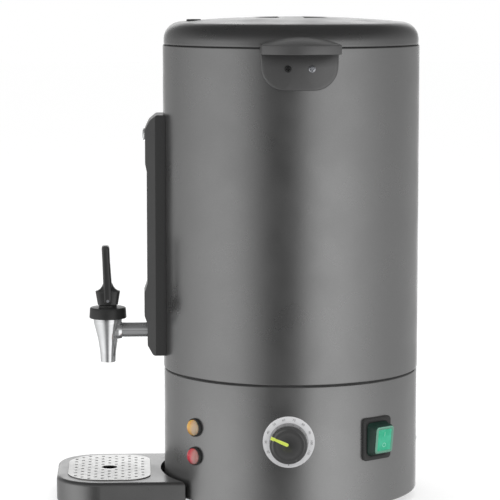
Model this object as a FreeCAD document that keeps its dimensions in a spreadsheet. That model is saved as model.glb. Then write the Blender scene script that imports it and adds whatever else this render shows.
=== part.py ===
import FreeCAD, Part
import Sketcher
import math
import os

# Hot water urn, in millimetres.
# Row frame: +Z up, origin on the table under the middle of the urn, tap and drip tray towards -Y,
# handles at +X and -X, mains inlet at the rear.
# Each group of pieces is drawn as if it pointed along +X ("out"), with +Y sideways,
# and is then turned about the urn's axis to its own station angle.

Vector = FreeCAD.Vector
doc = FreeCAD.newDocument("HotWaterUrn")
sheet = doc.addObject("Spreadsheet::Sheet", "Sizes")
sheet_rows = []
pieces = {}


class Size:
    """A number together with the sheet formula that gives it."""

    def __init__(self, number, formula):
        self.number = number
        self.formula = formula

    def join(self, other, sign, number):
        return Size(number, f"({self.formula} {sign} {formula_of(other)})")

    def __add__(self, other):
        return self.join(other, "+", self.number + number_of(other))

    def __sub__(self, other):
        return self.join(other, "-", self.number - number_of(other))

    def __mul__(self, other):
        return self.join(other, "*", self.number * number_of(other))

    def __truediv__(self, other):
        return self.join(other, "/", self.number / number_of(other))

    def __radd__(self, other):
        return Size(other, str(other)) + self

    def __rsub__(self, other):
        return Size(other, str(other)) - self

    def __rmul__(self, other):
        return Size(other, str(other)) * self

    def __neg__(self):
        return Size(-self.number, f"(0 - {self.formula})")


def number_of(value):
    return value.number if isinstance(value, Size) else value


def formula_of(value):
    return value.formula if isinstance(value, Size) else str(value)


def root(value):
    return Size(math.sqrt(value.number), f"sqrt({value.formula})")


def sine(angle):
    return Size(math.sin(math.radians(angle.number)), f"sin({angle.formula})")


def cosine(angle):
    return Size(math.cos(math.radians(angle.number)), f"cos({angle.formula})")


def size(name, number, meaning):
    """Puts one driving dimension in the sheet."""
    row = len(sheet_rows) + 1
    sheet_rows.append(name)
    sheet.set(f"A{row}", meaning)
    sheet.set(f"B{row}", str(number))
    sheet.setAlias(f"B{row}", name)
    return Size(number, f"Sizes.{name}")


def bind(obj, prop, value):
    obj.setExpression(prop, formula_of(value))


# Primitives, booleans and sketched bodies

def rod(name, radius, low, high, x=0, y=0):
    """Upright cylinder between two heights."""
    obj = doc.addObject("Part::Cylinder", name)
    bind(obj, "Radius", radius)
    bind(obj, "Height", high - low)
    bind(obj, "Placement.Base.x", x)
    bind(obj, "Placement.Base.y", y)
    bind(obj, "Placement.Base.z", low)
    return obj


def bolt(name, radius, inner, outer, y, z):
    """Cylinder that points out along X between two distances from the urn's axis."""
    obj = doc.addObject("Part::Cylinder", name)
    obj.Placement = FreeCAD.Placement(Vector(0, 0, 0), FreeCAD.Rotation(Vector(0, 1, 0), 90))
    bind(obj, "Radius", radius)
    bind(obj, "Height", outer - inner)
    bind(obj, "Placement.Base.x", inner)
    bind(obj, "Placement.Base.y", y)
    bind(obj, "Placement.Base.z", z)
    return obj


def pin(name, radius, half_width, x, z):
    """Cylinder that lies sideways along Y, centred on the outward plane."""
    obj = doc.addObject("Part::Cylinder", name)
    obj.Placement = FreeCAD.Placement(Vector(0, 0, 0), FreeCAD.Rotation(Vector(1, 0, 0), 90))
    bind(obj, "Radius", radius)
    bind(obj, "Height", 2 * half_width)
    bind(obj, "Placement.Base.x", x)
    bind(obj, "Placement.Base.y", half_width)
    bind(obj, "Placement.Base.z", z)
    return obj


def slab(name, x, y, z):
    """Box given by a pair of limits on each axis."""
    obj = doc.addObject("Part::Box", name)
    for side, (low, high), axis in (("Length", x, "x"), ("Width", y, "y"), ("Height", z, "z")):
        bind(obj, side, high - low)
        bind(obj, f"Placement.Base.{axis}", low)
    return obj


def group(name, parts, angle=0):
    """Separate solids in one piece, turned about the urn's axis."""
    obj = doc.addObject("Part::Compound", name)
    obj.Links = parts
    bind(obj, "Placement.Rotation.Angle", angle)
    return obj


def cut(name, base, tools):
    obj = doc.addObject("Part::Cut", name)
    obj.Base = base
    obj.Tool = tools[0] if len(tools) == 1 else group(name + "_tools", tools)
    return obj


def fuse(name, parts):
    obj = doc.addObject("Part::MultiFuse", name)
    obj.Shapes = parts
    obj.Refine = True
    return obj


def common(name, parts):
    obj = doc.addObject("Part::MultiCommon", name)
    obj.Shapes = parts
    return obj


def rounded(name, base, radius, chosen):
    """Rounds the edges that the test picks."""
    doc.recompute()
    obj = doc.addObject("Part::Fillet", name)
    obj.Base = base
    reach = number_of(radius)
    obj.Edges = [(i + 1, reach, reach) for i, edge in enumerate(base.Shape.Edges) if chosen(edge)]
    return obj


def unit(a, b):
    length = math.hypot(b[0] - a[0], b[1] - a[1])
    return (b[0] - a[0]) / length, (b[1] - a[1]) / length


def bow_arc(a, b, bow):
    """Arc of a given radius from a to b; a positive radius bulges to the right of the way from a to b."""
    ux, uy = unit(a, b)
    half = math.hypot(b[0] - a[0], b[1] - a[1]) / 2
    radius = abs(bow)
    reach = math.sqrt(radius * radius - half * half)
    side = 1 if bow > 0 else -1
    mid = ((a[0] + b[0]) / 2, (a[1] + b[1]) / 2)
    centre = (mid[0] - uy * reach * side, mid[1] + ux * reach * side)
    start = math.atan2(a[1] - centre[1], a[0] - centre[0])
    end = math.atan2(b[1] - centre[1], b[0] - centre[0])
    circle = Part.Circle(Vector(centre[0], centre[1], 0), Vector(0, 0, 1), radius)
    if side > 0:
        return Part.ArcOfCircle(circle, start, end if end > start else end + 2 * math.pi), 1, 2
    return Part.ArcOfCircle(circle, end, start if start > end else start + 2 * math.pi), 2, 1


def outline(sketch, corners):
    """Closed outline. A corner is (u, v), (u, v, fillet) or, where an arc starts, (u, v, None, bow)."""
    count = len(corners)
    place = [(number_of(c[0]), number_of(c[1])) for c in corners]
    fillet = [c[2] if len(c) > 2 else None for c in corners]
    bow = [c[3] if len(c) > 3 else None for c in corners]
    enter, leave = list(place), list(place)
    for i in range(count):
        if fillet[i] is None:
            continue
        back = unit(place[i], place[i - 1])
        ahead = unit(place[i], place[(i + 1) % count])
        opening = math.acos(back[0] * ahead[0] + back[1] * ahead[1])
        trim = number_of(fillet[i]) / math.tan(opening / 2)
        enter[i] = (place[i][0] + back[0] * trim, place[i][1] + back[1] * trim)
        leave[i] = (place[i][0] + ahead[0] * trim, place[i][1] + ahead[1] * trim)
    sides, first, last = [], [], []
    for i in range(count):
        a, b = leave[i], enter[(i + 1) % count]
        if bow[i] is None:
            sides.append(Part.LineSegment(Vector(a[0], a[1], 0), Vector(b[0], b[1], 0)))
            first.append(1)
            last.append(2)
        else:
            arc, start, end = bow_arc(a, b, number_of(bow[i]))
            sides.append(arc)
            first.append(start)
            last.append(end)
    sketch.addGeometry(sides, False)
    rules, bound = [], []

    def rule(*words, value=None):
        if value is not None:
            bound.append((len(rules), value))
            words = words + (number_of(value),)
        rules.append(Sketcher.Constraint(*words))

    def hold(geometry, point, corner):
        rule("DistanceX", -1, 1, geometry, point, value=corner[0])
        rule("DistanceY", -1, 1, geometry, point, value=corner[1])

    for i in range(count):
        before = (i - 1) % count
        if bow[i] is not None:
            rule("Radius", i, value=bow[i] if number_of(bow[i]) > 0 else -bow[i])
        if fillet[i] is None:
            rule("Coincident", before, last[before], i, first[i])
            hold(i, first[i], corners[i])
            continue
        turn = unit(place[before], place[i])
        out = unit(place[i], place[(i + 1) % count])
        left = turn[0] * out[1] - turn[1] * out[0] > 0
        radius = number_of(fillet[i])
        normal = (-turn[1], turn[0]) if left else (turn[1], -turn[0])
        centre = (enter[i][0] + normal[0] * radius, enter[i][1] + normal[1] * radius)
        ends = [math.atan2(p[1] - centre[1], p[0] - centre[0]) for p in (enter[i], leave[i])]
        start, end = ends if left else ends[::-1]
        end = end if end > start else end + 2 * math.pi
        circle = Part.Circle(Vector(centre[0], centre[1], 0), Vector(0, 0, 1), radius)
        arc = sketch.addGeometry(Part.ArcOfCircle(circle, start, end), False)
        corner = sketch.addGeometry(Part.Point(Vector(place[i][0], place[i][1], 0)), True)
        hold(corner, 1, corners[i])
        rule("PointOnObject", corner, 1, before)
        rule("PointOnObject", corner, 1, i)
        rule("Tangent", before, last[before], arc, 1 if left else 2)
        rule("Tangent", arc, 2 if left else 1, i, first[i])
        rule("Radius", arc, value=fillet[i])
    sketch.addConstraint(rules)
    for index, value in bound:
        bind(sketch, f"Constraints[{index}]", value)


def sketched(name, plane, corners, offset=0):
    body = doc.addObject("PartDesign::Body", name)
    sketch = body.newObject("Sketcher::SketchObject", name + "_outline")
    origin_plane = [f for f in body.Origin.OriginFeatures if f.Role == plane][0]
    sketch.AttachmentSupport = [(origin_plane, "")]
    sketch.MapMode = "FlatFace"
    bind(sketch, "AttachmentOffset.Base.z", offset)
    outline(sketch, corners)
    return body, sketch


def turned(name, corners):
    """Outline (radius, height) turned about the urn's own axis."""
    body, sketch = sketched(name, "XZ_Plane", corners)
    feature = body.newObject("PartDesign::Revolution", name + "_turn")
    feature.Profile = sketch
    feature.ReferenceAxis = (sketch, ["V_Axis"])
    feature.Angle = 360
    return body


def turned_upright(name, x, corners):
    """Outline (radius, height) turned about an upright axis at distance x."""
    body, sketch = sketched(name, "XZ_Plane", [(x + c[0],) + tuple(c[1:]) for c in corners])
    axis = sketch.addGeometry(Part.LineSegment(Vector(x.number, 0, 0), Vector(x.number, 10, 0)), True)
    return turn_about(body, sketch, name, axis, x, 0, x, 10)


def turned_out(name, z, corners):
    """Outline (distance out, radius) turned about a level axis at height z."""
    body, sketch = sketched(name, "XZ_Plane", [(c[0], z + c[1]) + tuple(c[2:]) for c in corners])
    axis = sketch.addGeometry(Part.LineSegment(Vector(0, z.number, 0), Vector(10, z.number, 0)), True)
    return turn_about(body, sketch, name, axis, 0, z, 10, z)


def turn_about(body, sketch, name, axis, x_start, z_start, x_end, z_end):
    for point, along_x, along_z in ((1, x_start, z_start), (2, x_end, z_end)):
        for direction, value in (("DistanceX", along_x), ("DistanceY", along_z)):
            index = sketch.addConstraint(Sketcher.Constraint(direction, -1, 1, axis, point, number_of(value)))
            bind(sketch, f"Constraints[{index}]", value)
    feature = body.newObject("PartDesign::Revolution", name + "_turn")
    feature.Profile = sketch
    feature.ReferenceAxis = (sketch, ["Axis0"])
    feature.Angle = 360
    return body


def raised(name, corners, low, high):
    """Plan outline (out, side) padded from one height to another."""
    body, sketch = sketched(name, "XY_Plane", corners, low)
    return pad(body, sketch, name, high - low)


def pushed_out(name, corners, inner, outer):
    """Front outline (side, height) padded outwards."""
    body, sketch = sketched(name, "YZ_Plane", corners, inner)
    return pad(body, sketch, name, outer - inner)


def widened(name, corners, half_width):
    """Side outline (out, height) padded by the same width to both sides."""
    body, sketch = sketched(name, "XZ_Plane", corners, -half_width)
    return pad(body, sketch, name, 2 * half_width)


def pad(body, sketch, name, length):
    feature = body.newObject("PartDesign::Pad", name + "_pad")
    feature.Profile = sketch
    bind(feature, "Length", length)
    return body


def dome_bow(reach, rise):
    """Radius of the round cap that covers a disc of one radius with one rise."""
    return (reach * reach + rise * rise) / (2 * rise)


def ring(name, inner, outer, low, high):
    return turned(name, [(inner, low), (outer, low), (outer, high), (inner, high)])


def box_corners(low_u, high_u, low_v, high_v, fillet=None):
    return [(u, v, fillet) for u, v in ((low_u, low_v), (high_u, low_v), (high_u, high_v), (low_u, high_v))]


def centred(width, height, middle, fillet=None):
    """Upright rectangle about the outward plane, at one height."""
    return box_corners(-width / 2, width / 2, middle - height / 2, middle + height / 2, fillet)


def hexagon(across_flats, middle_u=0, middle_v=0):
    corners = []
    for k in range(6):
        angle = math.radians(60 * k + 30)
        reach = across_flats / math.sqrt(3)
        corners.append((middle_u + reach * math.cos(angle), middle_v + reach * math.sin(angle)))
    return corners


def tube_along(points, radius, bend):
    """Round bar along straight runs joined by tangent arcs."""
    spots = [Vector(*p) for p in points]
    edges = []
    here = spots[0]
    for before, corner, after in zip(spots, spots[1:], spots[2:]):
        back = (before - corner).normalize()
        ahead = (after - corner).normalize()
        opening = back.getAngle(ahead)
        trim = bend / math.tan(opening / 2)
        start = corner + back * trim
        end = corner + ahead * trim
        middle_way = (back + ahead).normalize()
        middle = corner + middle_way * (bend / math.sin(opening / 2) - bend)
        edges.append(Part.LineSegment(here, start).toShape())
        edges.append(Part.Arc(start, middle, end).toShape())
        here = end
    edges.append(Part.LineSegment(here, spots[-1]).toShape())
    path = Part.Wire(edges)
    circle = Part.Circle(spots[0], spots[1] - spots[0], radius)
    return path.makePipeShell([Part.Wire(circle.toShape())], True, False)


def plain(name, shape):
    """Piece whose shape is worked out directly."""
    obj = doc.addObject("Part::Feature", name)
    obj.Shape = shape
    return obj


def piece(name, obj, angle=0):
    """Names a finished sub-part and turns it to its station."""
    if obj.TypeId in ("Part::Cylinder", "Part::Feature"):
        obj = group(name + "_placed", [obj], angle)
    else:
        bind(obj, "Placement.Rotation.Angle", angle)
    obj.Label = name
    pieces[name] = obj
    return obj


# Overall sizes and the stations round the urn

shell_radius = size("shell_radius", 134, "outer radius of the upper shell")
shell_wall = size("shell_wall", 0.8, "sheet of the upper shell")
shell_rise = size("shell_rise", 337.5, "height of the upper shell")
base_step = size("base_step", 0.5, "how much smaller the base is in radius")
base_wall = size("base_wall", 1.2, "sheet of the base housing")
base_rise = size("base_rise", 127.9, "height of the base housing")
foot_height = size("foot_height", 8, "gap under the base")
seam_height = size("seam_height", 1.3, "dark joint between base and shell")
fit = size("fit", 0.3, "clearance between loose pieces")
running = size("running", 0.05, "radial clearance of a shaft in its bore")
seat = size("seat", 0.05, "gap between clamped pieces")
crown_flat = size("crown_flat", 0.5, "radius of the small flat on top of a moulded dome")
wrap = size("wrap", 0.12, "gap between pieces wrapped round one another")

base_radius = shell_radius - base_step
base_bottom = foot_height
base_top = base_bottom + base_rise
shell_bottom = base_top + seam_height
shell_top = shell_bottom + shell_rise

front = size("front", -90, "station of tap, gauge and tray")
rear = size("rear", 110, "station of the mains inlet")
dial_station = size("dial_station", -4.4, "station of the dial")
lamp_station = size("lamp_station", -50.5, "station of the lamps")
switch_station = size("switch_station", 37.2, "station of the switch")
reset_station = size("reset_station", 138, "station of the reset button")
handle_stations = {"handle_right": 0, "handle_left": 180}

dial_height = size("dial_height", 79.8, "height of the dial's middle")
ready_height = size("ready_height", 86.6, "height of the amber lamp")
power_height = size("power_height", 56.8, "height of the red lamp")
switch_height = size("switch_height", 78, "height of the switch's middle")
inlet_height = size("inlet_height", 52, "height of the mains inlet")
tank_lift = size("tank_lift", 20, "tank floor above the shell's bottom")
tap_rise = size("tap_rise", 18.3, "tap's shank above the tank's floor")
tank_floor = shell_bottom + tank_lift
tap_height = tank_floor + tap_rise

# Base housing: a deep-drawn painted steel shell with a flange in at both ends

flange_in = size("flange_in", 15.5, "width of the flange at the top of the base")
lip_in = size("lip_in", 11.5, "width of the flange at the bottom of the base")
base_edge = size("base_edge", 3, "rounding at the bottom of the base")
rim_edge = size("rim_edge", 1.1, "rounding at the top of the base")
dial_hole = size("dial_hole", 5, "radius of the hole behind the dial")
screw_radius = size("screw_radius", 2, "radius of the small screws")
screw_gap = size("screw_gap", 0.2, "radial play of a screw in its hole")
dial_screw_span = size("dial_screw_span", 12, "thermostat screws from the dial's middle")
lamp_neck = size("lamp_neck", 5.8, "radius of the lamp's neck")
switch_core_width = size("switch_core_width", 31, "width of the switch's body")
switch_core_height = size("switch_core_height", 37, "height of the switch's body")
inlet_core_width = size("inlet_core_width", 28, "width of the inlet's body")
inlet_core_height = size("inlet_core_height", 20.5, "height of the inlet's body")
inlet_screw = size("inlet_screw", 1.5, "radius of an inlet screw")
inlet_screw_span = size("inlet_screw_span", 20, "inlet screws from its middle")
reset_neck = size("reset_neck", 6, "radius of the cut-out's threaded neck")

wall_in = base_radius - 8
wall_out = base_radius + 6
wall_core = turned("base_wall_form", [
    (base_radius - lip_in, base_bottom), (base_radius, base_bottom, base_edge),
    (base_radius, base_top, rim_edge),
    (base_radius - flange_in, base_top), (base_radius - flange_in, base_top - base_wall),
    (base_radius - base_wall, base_top - base_wall), (base_radius - base_wall, base_bottom + base_wall),
    (base_radius - lip_in, base_bottom + base_wall)])
dial_holes = [bolt("dial_shaft_hole", dial_hole, wall_in, wall_out, 0, dial_height)]
for side, word in ((-1, "low"), (1, "high")):
    dial_holes.append(bolt(f"dial_screw_hole_{word}", screw_radius + screw_gap, wall_in, wall_out,
                           side * dial_screw_span, dial_height))
lamp_holes = [bolt(f"{word}_lamp_hole", lamp_neck + screw_gap, wall_in, wall_out, 0, level)
              for word, level in (("ready", ready_height), ("power", power_height))]
switch_hole = pushed_out("switch_hole", centred(
    switch_core_width + 2 * fit, switch_core_height + 2 * fit, switch_height), wall_in - 3, wall_out)
inlet_holes = [pushed_out("inlet_hole", centred(
    inlet_core_width + 2 * fit, inlet_core_height + 2 * fit, inlet_height), wall_in, wall_out)]
for side, word in ((-1, "low"), (1, "high")):
    inlet_holes.append(bolt(f"inlet_screw_hole_{word}", inlet_screw + screw_gap, wall_in - 4, wall_out,
                            side * inlet_screw_span, inlet_height))
reset_hole = bolt("reset_hole", reset_neck + screw_gap, wall_in, wall_out, 0, inlet_height)
piece("base_housing", cut("base_housing", wall_core, [
    group("dial_holes", dial_holes, dial_station), group("lamp_holes", lamp_holes, lamp_station),
    group("switch_holes", [switch_hole], switch_station), group("inlet_holes", inlet_holes, rear),
    group("reset_holes", [reset_hole], reset_station)]))

# Bottom plate: vented steel disc that the tie rods pull up against the housing

plate_wall = size("plate_wall", 1.2, "sheet of the bottom plate")
tie_radius = size("tie_radius", 3, "radius of a tie rod")
tie_in = size("tie_in", 51.5, "tie rods inside the base's face")
foot_in = size("foot_in", 35.5, "middle of the rubber foot inside the base's face")
vent_circle = size("vent_circle", 45, "vent slots from the axis")
vent_length = size("vent_length", 26, "length of a vent slot")
vent_width = size("vent_width", 4, "width of a vent slot")
tie_angles = [30, 150, 270]
foot_angles = [45, 135, 225, 315]

tie_circle = base_radius - tie_in
foot_circle = base_radius - foot_in
plate_bottom = base_bottom + base_wall
plate_top = plate_bottom + plate_wall
plate_radius = base_radius - base_wall - fit
plate_tools = []
for k, angle in enumerate(tie_angles):
    plate_tools.append(group(f"tie_hole_turn_{k}", [
        rod(f"tie_hole_{k}", tie_radius + fit, plate_bottom - 2, plate_top + 2, tie_circle)], angle))
for k, angle in enumerate(foot_angles):
    plate_tools.append(group(f"foot_hole_turn_{k}", [
        rod(f"foot_hole_{k}", screw_radius + screw_gap, plate_bottom - 2, plate_top + 2,
            foot_circle)], angle))
for k in range(12):
    plate_tools.append(group(f"vent_turn_{k}", [slab(
        f"vent_{k}", (vent_circle - vent_length / 2, vent_circle + vent_length / 2),
        (-vent_width / 2, vent_width / 2), (plate_bottom - 2, plate_top + 2))], 30 * k + 15))
plate_disc = rod("base_plate_disc", plate_radius, plate_bottom, plate_top)
piece("base_plate", cut("base_plate", plate_disc, plate_tools))

# Rubber foot: one soft horseshoe that the urn stands on, open at the front for the drip tray's tongue,
# held under the bottom plate by four screws let in from below

foot_half = size("foot_half", 9, "half the width of the rubber foot")
foot_taper = size("foot_taper", 1.5, "how much the foot narrows downwards on either side")
foot_mouth = size("foot_mouth", 36, "half the width of the gap in the foot")
foot_bore = size("foot_bore", 5, "radius of a screw's recess in the foot")
foot_head = size("foot_head", 4.2, "radius of a foot screw's head")
foot_head_rise = size("foot_head_rise", 2.6, "height of a foot screw's head")
foot_web = size("foot_web", 3, "rubber above the recesses, up to the urn's lower edge")
foot_screw_end = size("foot_screw_end", 5, "foot screw's end above the bottom plate")

head_top = foot_height - foot_web
foot_form = turned("foot_form", [
    (foot_circle - foot_half, plate_bottom), (foot_circle - foot_half + foot_taper, 0),
    (foot_circle + foot_half - foot_taper, 0), (foot_circle + foot_half, plate_bottom)])
foot_tools = [group("foot_mouth_turn", [slab(
    "foot_mouth_block", (0, base_radius), (-foot_mouth, foot_mouth), (-1, plate_bottom + 1))], front)]
foot_screws = []
for k, angle in enumerate(foot_angles):
    foot_tools.append(group(f"foot_recess_turn_{k}", [
        rod(f"foot_recess_{k}", foot_bore, -1, head_top + seat, foot_circle)], angle))
    foot_tools.append(group(f"foot_way_turn_{k}", [
        rod(f"foot_way_{k}", screw_radius + screw_gap, 0, plate_bottom + 1, foot_circle)], angle))
    screw = turned_upright(f"foot_screw_{k}", foot_circle, [
        (0, head_top - foot_head_rise), (foot_head, head_top - foot_head_rise, 0.8), (foot_head, head_top),
        (screw_radius, head_top), (screw_radius, plate_top + foot_screw_end),
        (0, plate_top + foot_screw_end)])
    foot_screws.append(group(f"foot_screw_turn_{k}", [screw], angle))
piece("rubber_foot", cut("rubber_foot", foot_form, foot_tools))
piece("foot_screws", group("foot_screws", foot_screws))

# Joint gasket: a dark rubber ring between base and shell, set back from both

gasket_set_back = size("gasket_set_back", 1, "how far the gasket lies inside the base")
piece("seam_gasket", ring("seam_gasket", base_radius - flange_in, base_radius - gasket_set_back,
                          base_top, shell_bottom))

# Upper shell: rolled and painted steel, flanged in at the bottom

shell_roll = size("shell_roll", 1.8, "rounding at the bottom of the shell")
handle_screw_span = size("handle_screw_span", 12, "handle screws from the handle's middle")
handle_screw_drop = size("handle_screw_drop", 19.2, "handle screws below the shell's top")
shank_radius = size("shank_radius", 8.1, "radius of the tap's shank")
bracket_reach = size("bracket_reach", 10.5, "half width of the gauge's top bracket")

handle_screw_height = shell_top - handle_screw_drop
shell_form = turned("shell_form", [
    (base_radius - flange_in, shell_bottom), (shell_radius, shell_bottom, shell_roll),
    (shell_radius, shell_top), (shell_radius - shell_wall, shell_top),
    (shell_radius - shell_wall, shell_bottom + shell_wall, shell_roll - 0.7),
    (base_radius - flange_in, shell_bottom + shell_wall)])
shell_tools = []
for word, angle in handle_stations.items():
    holes = [bolt(f"{word}_hole_{k}", screw_radius + screw_gap, shell_radius - 6, shell_radius + 6,
                  side * handle_screw_span, handle_screw_height) for k, side in enumerate((-1, 1))]
    shell_tools.append(group(f"{word}_holes", holes, angle))
shell_tools.append(group("shank_shell_hole", [
    bolt("shank_shell_bore", shank_radius + fit, shell_radius - 6, shell_radius + 6, 0, tap_height)], front))
piece("outer_shell", cut("outer_shell", shell_form, shell_tools))

# Inner tank: stainless pan hung by its rim on the shell's top edge

tank_gap = size("tank_gap", 21, "tank's wall inside the shell's face")
tank_wall = size("tank_wall", 0.8, "sheet of the inner tank")
tank_corner = size("tank_corner", 5, "rounding between tank wall and floor")
rim_overhang = size("rim_overhang", 0.4, "how far the tank rim stops inside the shell's face")

tank_radius = shell_radius - tank_gap
rim_top = shell_top + tank_wall
tank_bore = tank_radius - tank_wall
tank_form = turned("tank_form", [
    (0, tank_floor), (tank_radius, tank_floor, tank_corner), (tank_radius, shell_top),
    (shell_radius - rim_overhang, shell_top), (shell_radius - rim_overhang, rim_top),
    (tank_bore, rim_top, 2.5), (tank_bore, tank_floor + tank_wall, tank_corner - tank_wall),
    (0, tank_floor + tank_wall)])
piece("inner_tank", cut("inner_tank", tank_form, [group("shank_tank_hole", [
    bolt("shank_tank_bore", shank_radius + 0.2, tank_radius - 8, tank_radius + 8, 0, tap_height)], front)]))

# Tie rods: studs under the tank floor that pull base plate, base and shell together

nut_height = size("nut_height", 4.6, "height of a tie rod nut")
nut_across = size("nut_across", 10, "width of a tie rod nut across its flats")
ties, hex_nuts = [], []
for k, angle in enumerate(tie_angles):
    ties.append(group(f"tie_turn_{k}", [fuse(f"tie_{k}", [
        rod(f"tie_rod_{k}", tie_radius, plate_bottom - nut_height - 0.6, tank_floor, tie_circle),
        rod(f"tie_pad_{k}", 3 * tie_radius, tank_floor - 2, tank_floor, tie_circle)])], angle))
    nut = cut(f"tie_nut_{k}", raised(f"tie_nut_form_{k}", hexagon(nut_across, tie_circle),
                                     plate_bottom - nut_height, plate_bottom),
              [rod(f"tie_nut_bore_{k}", tie_radius + running, plate_bottom - nut_height - 1, plate_bottom + 1,
                   tie_circle)])
    hex_nuts.append(group(f"tie_nut_turn_{k}", [nut], angle))
piece("tie_rods", group("tie_rods", ties))

# Heater: aluminium plate under the tank floor, ring element and the bar that clamps it

heat_margin = size("heat_margin", 47, "heat plate's edge inside the tank's wall")
heat_wall = size("heat_wall", 3, "thickness of the heat plate")
heat_stud = size("heat_stud", 3, "radius of the heat plate's stud")
stud_end = size("stud_end", 8, "stud's end below the clamp bar")
element_in = size("element_in", 14, "element's ring inside the heat plate's edge")
element_radius = size("element_radius", 4, "radius of the element's tube")
element_gap = size("element_gap", 15, "half the angle between the element's ends")
element_drop = size("element_drop", 26, "length of the element's cold ends")
clamp_width = size("clamp_width", 16, "width of the clamp bar")
clamp_wall = size("clamp_wall", 2, "thickness of the clamp bar")

heat_radius = tank_radius - heat_margin
element_circle = heat_radius - element_in
heat_top = tank_floor - seat
heat_bottom = heat_top - heat_wall
element_middle = heat_bottom - seat - element_radius
clamp_top = element_middle - element_radius - seat
clamp_bottom = clamp_top - clamp_wall
piece("heat_plate", fuse("heat_plate", [
    rod("heat_disc", heat_radius, heat_bottom, heat_top),
    rod("heat_stud_bar", heat_stud, clamp_bottom - stud_end, heat_bottom)]))


def element_shape():
    """Ring open at the rear, swept in one run with each end turned straight down on a quarter bend."""
    ring_radius = element_circle.number
    level = element_middle.number
    bend = 2 * element_radius.number
    gap = math.radians(element_gap.number)
    ends = []
    for side in (-1, 1):
        angle = math.pi / 2 + side * gap
        start = Vector(ring_radius * math.cos(angle), ring_radius * math.sin(angle), level)
        ahead = Vector(side * math.sin(angle), -side * math.cos(angle), 0)
        halfway = math.sqrt(0.5)
        middle = start + ahead * (bend * halfway) - Vector(0, 0, bend * (1 - halfway))
        corner = start + ahead * bend - Vector(0, 0, bend)
        ends.append((corner - Vector(0, 0, element_drop.number), corner, middle, start))
    first, last = ends
    path = Part.Wire([Part.LineSegment(first[0], first[1]).toShape(), Part.Arc(*first[1:]).toShape(),
                      Part.Arc(first[3], Vector(0, -ring_radius, level), last[3]).toShape(),
                      Part.Arc(last[3], last[2], last[1]).toShape(),
                      Part.LineSegment(last[1], last[0]).toShape()])
    circle = Part.Circle(first[0], Vector(0, 0, 1), element_radius.number)
    return path.makePipeShell([Part.Wire(circle.toShape())], True, False)


piece("heating_element", plain("heating_element", element_shape()))
clamp_reach = element_circle + element_radius + 4
piece("element_clamp", cut("element_clamp", slab(
    "clamp_bar", (-clamp_reach, clamp_reach), (-clamp_width / 2, clamp_width / 2), (clamp_bottom, clamp_top)),
    [rod("clamp_hole", heat_stud + fit, clamp_bottom - 1, clamp_top + 1)]))
clamp_nut_low = clamp_bottom - nut_height
hex_nuts.append(cut("clamp_nut", raised(
    "clamp_nut_form", hexagon(nut_across), clamp_nut_low, clamp_bottom),
    [rod("clamp_nut_bore", heat_stud + running, clamp_nut_low - 1, clamp_bottom + 1)]))
piece("hex_nuts", group("hex_nuts", hex_nuts))

# Dial: printed silver plate on the base's wall, thermostat behind it, black knob with a bright pointer

dial_radius = size("dial_radius", 26.25, "radius of the dial plate")
dial_wall = size("dial_wall", 0.8, "thickness of the dial plate")
shaft_radius = size("shaft_radius", 3, "radius of the thermostat's shaft")
knob_radius = size("knob_radius", 20, "knob's radius at the dial")
knob_nose = size("knob_nose", 17.25, "knob's radius at its front")
knob_depth = size("knob_depth", 18, "knob's depth")
knob_wall = size("knob_wall", 3, "knob's skirt and front thickness")
knob_hollow = size("knob_hollow", 6, "depth of the hollow under the knob")
knob_edge = size("knob_edge", 1.4, "rounding at the knob's front")
pointer_angle = size("pointer_angle", 66.5, "pointer's lean to the left from straight up")
pointer_width = size("pointer_width", 3, "pointer's width")
pointer_depth = size("pointer_depth", 0.8, "how deep the pointer is let in")
pointer_proud = size("pointer_proud", 0.2, "how far the pointer stands out")
body_half = size("body_half", 15, "half the thermostat body's width")
body_depth = size("body_depth", 25, "thermostat body's depth")
body_gap = size("body_gap", 1.2, "thermostat body behind the base's sheet")
shaft_length = size("shaft_length", 14, "shaft's run inside the thermostat body")
thread_length = size("thread_length", 8, "depth of the screw holes in the thermostat body")
tab_half = size("tab_half", 3.2, "half the width of a flat terminal")
tab_wall = size("tab_wall", 0.8, "thickness of a flat terminal")
tab_length = size("tab_length", 9, "length of a thermostat terminal")
tab_span = size("tab_span", 9, "thermostat terminals from its middle")
dial_screw_head = size("dial_screw_head", 3.5, "radius of a thermostat screw's head")

dial_outer = base_radius + dial_wall
dial_form = common("dial_form", [
    bolt("dial_round", dial_radius, wall_in, dial_outer + 2, 0, dial_height),
    ring("dial_sheet", base_radius + wrap, dial_outer,
         dial_height - dial_radius - 2, dial_height + dial_radius + 2)])
dial_tools = [bolt("dial_centre_hole", dial_hole, wall_in - 1, dial_outer + 3, 0, dial_height)]
for side, word in ((-1, "low"), (1, "high")):
    dial_tools.append(bolt(f"dial_plate_screw_hole_{word}", screw_radius + screw_gap, wall_in - 1,
                           dial_outer + 3, side * dial_screw_span, dial_height))
piece("dial_plate", cut("dial_plate", dial_form, dial_tools), dial_station)

knob_back = dial_outer + fit + 0.2
knob_front = knob_back + knob_depth
knob_core = turned_out("knob_core", dial_height, [
    (knob_back, knob_radius - knob_wall), (knob_back, knob_radius), (knob_front, knob_nose, knob_edge),
    (knob_front, 0), (knob_front - knob_wall, 0), (knob_front - knob_wall, shaft_radius + running),
    (knob_back + knob_hollow, shaft_radius + running), (knob_back + knob_hollow, knob_radius - knob_wall)])


def pointer_band(name, depth, proud, start):
    """Skin of the knob's flank and front, from below its surface to above it."""
    lean = (knob_radius - knob_nose) / knob_depth
    back = knob_back + start
    flank = knob_radius - lean * start
    return turned_out(name, dial_height, [
        (back, flank - depth), (back, flank + proud), (knob_front + proud, knob_nose + proud, knob_edge),
        (knob_front + proud, 1), (knob_front - depth, 1), (knob_front - depth, knob_nose - depth)])


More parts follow.
